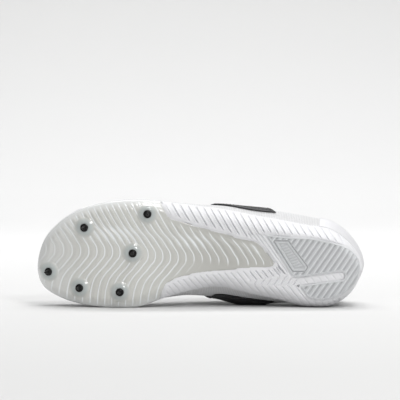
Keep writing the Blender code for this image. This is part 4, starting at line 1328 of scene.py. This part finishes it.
def make_upper():
    rings = (np.arange(RINGS) / RINGS)[:, None]
    rows = np.linspace(0, 1, ROWS)[None]
    relief = np.zeros((RINGS, ROWS))
    for ring, reach, low, high, lean, depth in CREASES:
        off = (rings - ring - lean * (rows - low)) / reach
        span = smooth_step(rows, low, low + 0.15) * (1 - smooth_step(rows, high - 0.15, high))
        relief -= depth * np.exp(-(off**2)) * span
        relief += 0.45 * depth * np.exp(-((np.abs(off) - 2.2) ** 2)) * span
    heel_seam = np.exp(-((np.minimum(rings, 1 - rings) / 0.0018) ** 2))
    relief -= 0.0004 * heel_seam * (1 - smooth_step(rows, 0.9, 1.0))
    round_collar = smooth_step(COLLAR_ENDS[0] - rings, 0, 0.03) + smooth_step(rings - COLLAR_ENDS[1], 0, 0.03)
    collar = np.clip(smooth_step(rows, COLLAR_LOW, 0.97) * round_collar, 0, 1)
    up_collar = np.clip((rows - COLLAR_LOW) / (1 - COLLAR_LOW), 0, 1)
    relief += 0.0010 * collar * np.sin(math.pi * up_collar) ** 0.8
    relief += 0.0003 * smooth_step(0.05 - rows, 0, 0.03)
    outer = WALL_POINTS + WALL_OUT * relief[..., None]
    corners, faces = shell(outer, WALL_POINTS - WALL_OUT * WALL, True)
    masks = weave_mask(WALL_POINTS)
    upper = piece("upper_mesh_shell", corners, faces, MESH, ["upper"], masks, lift=GAP + OVERLAY)
    upper.data.materials.append(LINING)
    inside = [min(face.vertices) >= RINGS * ROWS for face in upper.data.polygons]
    upper.data.polygons.foreach_set("material_index", np.array(inside, np.int32))


def make_collar():
    """Padded lining round the inside of the collar."""
    rings = np.arange(COLLAR_RINGS[0], COLLAR_RINGS[1] + 1)
    coarse = rings * COARSE_RINGS / RINGS
    found = np.array([[on_wall(ring, row) for row in COLLAR_ROWS * (COARSE_ROWS - 1)] for ring in coarse])
    face, way = found[:, :, 0], found[:, :, 1]
    to_end = np.minimum(rings - rings[0], rings[-1] - rings)[:, None]
    round_off = np.clip(np.sin(math.pi * np.linspace(0, 1, len(COLLAR_ROWS))), 0, 1) ** 0.6
    bulge = round_off * smooth_step(to_end, 0, 14)
    outer = face - way * (WALL + 0.0001)
    inner = face - way * (WALL + 0.0006 + COLLAR_PAD * bulge)[..., None]
    corners, faces = shell(outer, inner, False)
    masks = weave_mask(outer)
    lining = piece("collar_padding", corners, faces, LINING, (), masks, lift=FLOOR_LIFT)


def on_overlay(ring, up, ring_from, ring_to, low, high, lean, bow):
    """A place on the wall at a ring of an overlay, a share of the way up it, and the way out there."""
    border = low - bow * math.sin(math.pi * (ring - ring_from) / (ring_to - ring_from))
    return on_wall(ring + lean * up, max(border + (high - border) * up, OVERLAY_HEM))


def make_overlay(node, shape, steps, rows):
    """A thin overlay on the wall, its border rounded down and its seam pressed in."""
    ring_from, ring_to, _, _, lean, _ = shape
    off = SLANTED_GAP if lean else GAP
    rings, ups = np.linspace(ring_from, ring_to, steps + 1), np.linspace(0, 1, rows + 1)
    found = np.array([[on_overlay(ring, up, *shape) for up in ups] for ring in rings])
    face, way = found[:, :, 0], found[:, :, 1]
    s, t, _ = weave_of(face).transpose(2, 0, 1)
    to_border = least(t, t.max(1)[:, None] - t, s, s.max() - s)
    thick = off + OVERLAY * (1 - 0.75 * np.clip(1 - to_border / 0.9, 0, 1) ** 2)
    seam = 0.00022 * np.exp(-(((to_border - 2.1) / 0.5) ** 2))
    corners, faces = shell(face + way * (thick - seam)[..., None], face + way * off * 0.4, False)
    material, slot = (PANEL, "panel") if lean else (TRIM, "trim")
    piece(node + "_film", corners, faces, material, [node], weave_mask(face), sharp=50)


# Length of a stitch with its gap, its half width, how far its middle stands up, and its steps and sides
STITCH = 0.0032
STITCH_HALF = 0.00030
STITCH_ARCH = 0.00012
STITCH_STEPS = 5
STITCH_SIDES = 6


def make_stitches(name, border, lift, material):
    """A row of short stitches along a line of places on the wall, with the way out at each."""
    ways = np.array([way for _, way in border])
    places = np.array([place for place, _ in border]) + ways * lift
    way = way_along(places)
    turns = 2 * math.pi * np.arange(STITCH_SIDES)[:, None] / STITCH_SIDES
    corners, faces = [], []

    def read(values, along):
        return np.array([np.interp(along, way, column) for column in values.T])

    for number in range(int(way[-1] / STITCH)):
        base = len(corners) * STITCH_SIDES
        for share in np.linspace(0, 1, STITCH_STEPS):
            along = (number + 0.12 + 0.76 * share) * STITCH
            at, up = read(places, along), read(ways, along)
            up /= np.linalg.norm(up)
            ahead = read(places, along + STITCH_HALF) - at
            ahead /= max(np.linalg.norm(ahead), 1e-9)
            arch = math.sin(math.pi * share)
            size = STITCH_HALF * (0.45 + 0.55 * arch)
            round_it = np.cross(up, ahead) * np.cos(turns) + up * np.sin(turns)
            corners.append(at + up * (STITCH_ARCH * arch) + round_it * size)
        faces += tube_sides(STITCH_STEPS, STITCH_SIDES, base) + tube_caps(STITCH_STEPS, STITCH_SIDES, base)
    piece(name, np.concatenate(corners), faces, material)


# How far a seam lies from an overlay's border, in rows and rings of the wall, and how far from the
# overlay's ends one that doesn't run round it starts and stops
SEAM = 0.30
SEAM_END = 0.4


def panel_seam(ring_from, ring_to, low, high, lean, bow):
    """Places of the seam that runs round a side panel."""
    left, right, under_it, over_it = ring_from + SEAM, ring_to - SEAM, low + SEAM, high - SEAM
    corners = ((left, under_it), (right, under_it), (right, over_it), (left, over_it))
    border = []
    for (ring_a, row_a), (ring_b, row_b) in zip(corners, corners[1:] + corners[:1]):
        for share in np.linspace(0, 1, 40, endpoint=False):
            ring = ring_a + (ring_b - ring_a) * share
            up = (row_a + (row_b - row_a) * share - low) / (high - low)
            border.append(on_overlay(ring, up, ring_from, ring_to, low, high, lean, bow))
    return border


def make_overlays():
    for node, *shape, steps, rows in OVERLAYS:
        make_overlay(node, shape, steps, rows)
        ring_from, ring_to, low, high, lean, _ = shape
        if lean:
            lift = SLANTED_GAP + OVERLAY - 0.0002
            make_stitches(node + "_stitches", panel_seam(*shape), lift, DARK_THREAD)
        else:
            row = low + SEAM if node == "eyestay" else high - SEAM
            rings = np.linspace(ring_from + SEAM_END, ring_to - SEAM_END, 260)
            border = [on_wall(ring, row) for ring in rings]
            make_stitches(node + "_stitches", border, GAP + OVERLAY - 0.0002, THREAD)


# Eyelet ring: radius of its middle line, half its width and height, and its steps round both ways
EYELET_RADIUS = 0.0025
EYELET_HALF = (0.0007, 0.00045)
EYELET_STEPS = (28, 10)


def make_eyelets():
    """A ring round each lace hole."""
    corners, faces = [], []
    around, section = EYELET_STEPS
    a = (2 * math.pi * np.arange(around) / around)[:, None, None]
    b = (2 * math.pi * np.arange(section) / section)[:, None]
    for start, end in LACE_RINGS:
        for share in np.linspace(1, 0, LACE_ROWS):
            place, way = on_wall(start + (end - start) * share, LACE_ON_WALL)
            up = way / np.linalg.norm(way)
            beside = np.cross(up, (1, 0, 0))
            beside /= np.linalg.norm(beside)
            radial = beside * np.cos(a) + np.cross(beside, up) * np.sin(a)
            ring = radial * (EYELET_RADIUS + EYELET_HALF[0] * np.cos(b)) + up * EYELET_HALF[1] * np.sin(b)
            faces += tube_sides(around, section, len(corners) * around * section, closed=True)
            corners.append((ring + place + up * (GAP + OVERLAY + 0.0001)).reshape(-1, 3))
    piece("eyelet_rings", np.concatenate(corners), faces, TRIM)


# Tongue, insole and laces


# Seams sewn into the tongue's padding: along its sides and across its top, as shares of its size
TONGUE_SIDE_SEAM = 0.72
TONGUE_TOP_SEAM = 0.16


def tongue_row(x):
    """Height of the tongue's middle at x, half its width, and the drop at its sides."""
    rows = np.array(TONGUE_ROWS) * MM
    return [curve_through(rows[:, 0], rows[:, i], x) for i in (1, 2, 3)]


def make_tongue():
    xs = np.linspace(TONGUE_ROWS[0][0], TONGUE_ROWS[-1][0], 121)[:, None] * MM
    shares = np.linspace(-1, 1, 41)[None]
    height, half, drop = tongue_row(xs)
    face = [xs + 0 * shares, instep(xs) + shares * half, height - drop * shares**2]
    face = np.stack(face, axis=2)
    way = np.cross(np.gradient(face, axis=0), np.gradient(face, axis=1))
    way /= np.linalg.norm(way, axis=2)[..., None]
    across = np.abs(shares)
    along = np.linspace(0, 1, 121)[:, None]
    end = np.clip(along / 0.035, 0, 1) ** 0.5 * np.clip((1 - along) / 0.02, 0, 1) ** 0.5
    plump = np.clip((1 - across) / 0.16, 0, 1) ** 0.5 * end
    sewn = np.exp(-(((across - TONGUE_SIDE_SEAM) / 0.035) ** 2)) * smooth_step(along, 0.02, 0.05)
    top_seam = np.exp(-(((along - TONGUE_TOP_SEAM) / 0.008) ** 2))
    sewn += top_seam * (1 - smooth_step(across, TONGUE_SIDE_SEAM - 0.02, TONGUE_SIDE_SEAM + 0.02))
    padded = 1 - smooth_step(across, TONGUE_SIDE_SEAM - 0.02, TONGUE_SIDE_SEAM + 0.04)
    swell = 0.0011 * plump * (1 - along * 0.6) * padded - 0.0005 * sewn
    swell *= np.where(along < TONGUE_TOP_SEAM - 0.02, 1.3, 0.25)
    middle = face - way * (TONGUE / 2)
    thick = (TONGUE / 2) * (0.25 + 0.75 * plump)
    outer, inner = middle + way * (thick + swell)[..., None], middle - way * (thick + 0.4 * swell)[..., None]
    corners, faces = shell(outer, inner, False)
    faces = [group[:, ::-1] for group in faces]
    tongue = piece("tongue_padded", corners, faces, MESH, ["tongue"], weave_mask(face))


def make_insole():
    """The insole, its rim rounded down and its heel cupped."""
    outline = inset(EDGE, FEATHER_INSET + WALL + 0.0012, 320)
    plan, faces = triangles(outline, grid(0.003, 0.001, outline))

    def top(p):
        away = distance_to(p, outline)
        rim = np.clip(1 - away / 0.0015, 0, 1)
        cup = 0.0008 * smooth_step(-away, -0.009, -0.002) * smooth_step(-p[:, 0], -0.12, -0.06)
        return footbed(p) + GAP + INSOLE - 0.0007 * rim**2 + cup * (1 - rim)

    low = (plan, faces, footbed(plan) + GAP)
    corners, skin = sheet(outline, low, top, grid(0.002, 0.0008, outline))
    masks = {"weave": np.c_[corners[:, :2] / MM, np.zeros(len(corners))]}
    piece("sock_liner", corners, skin, LINING, ["insole"], masks, 50, FLOOR_LIFT)


def lace_ends():
    """For each lace row and side: the cord over the throat's edge, in its eyelet and back over the edge."""
    lift = GAP + OVERLAY + LACE / 2 + LACE_CLEAR
    rows = []
    for share in np.linspace(1, 0, LACE_ROWS):
        pair = []
        for start, end in LACE_RINGS:
            ring = start + (end - start) * share
            turn = LACE_TURN if end > start else -LACE_TURN
            places = ((ring + turn, COARSE_ROWS - 1), (ring, LACE_ON_WALL), (ring - turn, COARSE_ROWS - 1))
            pair.append([place + way * lift for place, way in (on_wall(*at) for at in places)])
        rows.append(pair)
    return rows


def over_tongue(here, there, lift):
    """Points of a cord that crosses from one edge of the throat to the other, clear of the tongue."""
    points = []
    for share in (0.25, 0.5, 0.75):
        point = here + (there - here) * share
        height, half, drop = tongue_row(point[0])
        aside = (point[1] - instep(point[0])) / half
        clear = height - drop * aside**2 + LACE / 2 + LACE_CLEAR
        bow = math.sin(math.pi * share)
        points.append(np.array([*point[:2], max(point[2] + LACE_ARCH * bow, clear) + lift * bow]))
    return points


# Sides of a cord, and the way round it for its weave, in millimetres
CORD_SIDES = 14
CORD_ROUND = 7.2


def cord_mesh(route, width, thick, ups, base):
    """Corners, faces and weave of a flat cord along a route."""
    ahead = np.gradient(route, axis=0)
    ahead /= np.linalg.norm(ahead, axis=1)[:, None]
    beside = np.cross(ahead, ups)
    beside /= np.linalg.norm(beside, axis=1)[:, None]
    up = np.cross(beside, ahead)
    turns = 2 * math.pi * np.arange(CORD_SIDES) / CORD_SIDES
    round_cos = np.sign(np.cos(turns)) * np.abs(np.cos(turns)) ** 0.8
    ring = route[:, None] + beside[:, None] * (round_cos * width / 2)[None, :, None]
    ring = ring + up[:, None] * (np.sin(turns) * thick / 2)[None, :, None]
    faces = tube_sides(len(route), CORD_SIDES, base) + tube_caps(len(route), CORD_SIDES, base)
    s, t = np.broadcast_arrays(CORD_ROUND * turns / (2 * math.pi), way_along(route)[:, None] / MM)
    weave = np.stack([s, t, np.zeros_like(t)], axis=2).reshape(-1, 3)
    return ring.reshape(-1, 3), faces, weave


def make_laces():
    rows = lace_ends()
    corners, faces, weaves = [], [], []
    for first in (0, 1):
        route = rows[0][first][1:]
        for row in range(1, LACE_ROWS):
            before, eyelet, after = rows[row][(row + first) % 2]
            route = [*route, *over_tongue(route[-1], before, first * LACE / 2.4), before, eyelet, after]
        route = np.array(route[:-1])
        mirror = np.concatenate([route, route[::-1][1:-1]])
        dense = closed_curve(mirror, 12)[: 12 * (len(route) - 1)]
        dense = np.concatenate([dense, route[-1:]])
        dense = spread(dense, np.linspace(0, 1, 420))
        side = (dense[:, 1] - instep(dense[:, 0])) / 0.03
        ups = np.stack([np.full_like(side, 0.25), side, np.ones_like(side)], axis=1)
        base = first * len(dense) * CORD_SIDES
        made, skin, weave = cord_mesh(dense, LACE * 1.25, LACE * 0.72, ups, base)
        corners.append(made)
        weaves.append(weave)
        faces += skin
    masks = {"weave": np.concatenate(weaves)}
    piece("lace_cords", np.concatenate(corners), faces, LACE_LOOK, ["laces"], masks)


# The studio: its half width, where its flat floor starts and ends, the radius it turns up with, its height
STUDIO_HALF = 4
STUDIO_FLOOR = (-3.0, 1.6)
STUDIO_TURN = 1.4
STUDIO_HEIGHT = 6.0


def make_stage():
    """A pale floor that curves up into a pale wall, with painted shade on the front of the floor and high up
    the wall.
    """
    start, end = STUDIO_FLOOR
    rows = [(y, 0.0) for y in np.linspace(start, end, 12)]
    for turn in np.linspace(0, math.pi / 2, 14)[1:]:
        rows.append((end + STUDIO_TURN * math.sin(turn), STUDIO_TURN * (1 - math.cos(turn))))
    rows.append((end + STUDIO_TURN, STUDIO_HEIGHT))
    xs = np.linspace(-STUDIO_HALF, STUDIO_HALF, 9)
    corners = [(x, y, z) for y, z in rows for x in xs]
    faces = []
    for r in range(len(rows) - 1):
        for c in range(len(xs) - 1):
            a = r * len(xs) + c
            faces.append((a, a + 1, a + 1 + len(xs), a + len(xs)))
    mesh = bpy.data.meshes.new("studio_sweep")
    mesh.from_pydata(corners, [], faces)
    mesh.shade_smooth()
    material, tree, shader = start_material("studio_paper")
    cloud = noise(tree, 3, 2)
    place = add(tree, "ShaderNodeSeparateXYZ", {0: add(tree, "ShaderNodeTexCoord").outputs["Object"]})
    # painted shade: the paper darker towards the front of the floor
    back = ranged(tree, place.outputs[1], 0.0, 1.0, -0.5, 1.2)
    paper = mixed(tree, back, grey(0.665, (1, 1, 0.995)), mixed(tree, cloud, grey(0.81), grey(0.82)))
    # painted shade: the wall darker higher up
    high = ranged(tree, place.outputs[2], 0.0, 1.0, 0.05, 0.50)
    tree.links.new(mixed(tree, high, paper, grey(0.70, (1, 1, 0.995))), shader.inputs["Base Color"])
    tree.links.new(ranged(tree, cloud, 0.8, 0.9), shader.inputs["Roughness"])
    shader.inputs["Specular IOR Level"].default_value = 0.1
    mesh.materials.append(material)
    sweep = bpy.data.objects.new("studio_sweep", mesh)
    bpy.context.scene.collection.objects.link(sweep)


LIGHTS = (
    # name, place, aims at, size across, size up, watts
    ("key", (0.60, -0.95, 2.05), (0.0, 0.0, 0.05), 1.0, 0.7, 18),
    ("streak", (0.9, -2.0, 1.45), (0.0, 0.0, 0.08), 0.55, 0.32, 15.5),
    ("fill", (-0.9, -2.3, 1.1), (0.0, 0.0, 0.06), 2.0, 1.2, 1.9),
    ("top", (0.1, 0.35, 2.2), (0.0, 0.0, 0.0), 1.6, 1.0, 17),
    ("wall", (0.0, 0.9, 2.3), (0.0, 2.6, 0.2), 3.0, 0.7, 37),
)
SKY = 0.35
CAMERA_AWAY = 1.6
CAMERA_RAISED = 1.6
CAMERA_AIM = (-0.0011, -0.05, 0.0936)
VIEW_WIDTH = 0.3430
SENSOR = 36.0


def make_light(name, place, aim, across, up, watts):
    lamp = bpy.data.lights.new(name, "AREA")
    lamp.shape = "RECTANGLE"
    lamp.size = across
    lamp.size_y = up
    lamp.energy = watts
    light = bpy.data.objects.new(name, lamp)
    light.location = place
    light.rotation_euler = (Vector(aim) - Vector(place)).to_track_quat("-Z", "Y").to_euler()
    bpy.context.scene.collection.objects.link(light)


def make_lights_and_camera():
    for row in LIGHTS:
        make_light(*row)
    world = bpy.data.worlds.new("studio_light")
    world.use_nodes = True
    world.node_tree.nodes["Background"].inputs["Color"].default_value = (1, 1, 1, 1)
    world.node_tree.nodes["Background"].inputs["Strength"].default_value = SKY
    bpy.context.scene.world = world
    bpy.context.scene.view_settings.view_transform = "Standard"
    lens = bpy.data.cameras.new("camera")
    lens.sensor_width = SENSOR
    lens.lens = SENSOR * CAMERA_AWAY / VIEW_WIDTH
    lens.clip_end = 20
    camera = bpy.data.objects.new("camera", lens)
    raised = math.radians(CAMERA_RAISED)
    aim = Vector(CAMERA_AIM)
    camera.location = aim + Vector((0, -math.cos(raised), math.sin(raised))) * CAMERA_AWAY
    camera.rotation_euler = (aim - camera.location).to_track_quat("-Z", "Y").to_euler()
    bpy.context.scene.collection.objects.link(camera)
    bpy.context.scene.camera = camera


make_stage()
make_lights_and_camera()
make_plate()
make_foam()
make_rubber()
make_spikes()
make_upper()
make_collar()
make_overlays()
make_eyelets()
make_tongue()
make_insole()
make_laces()
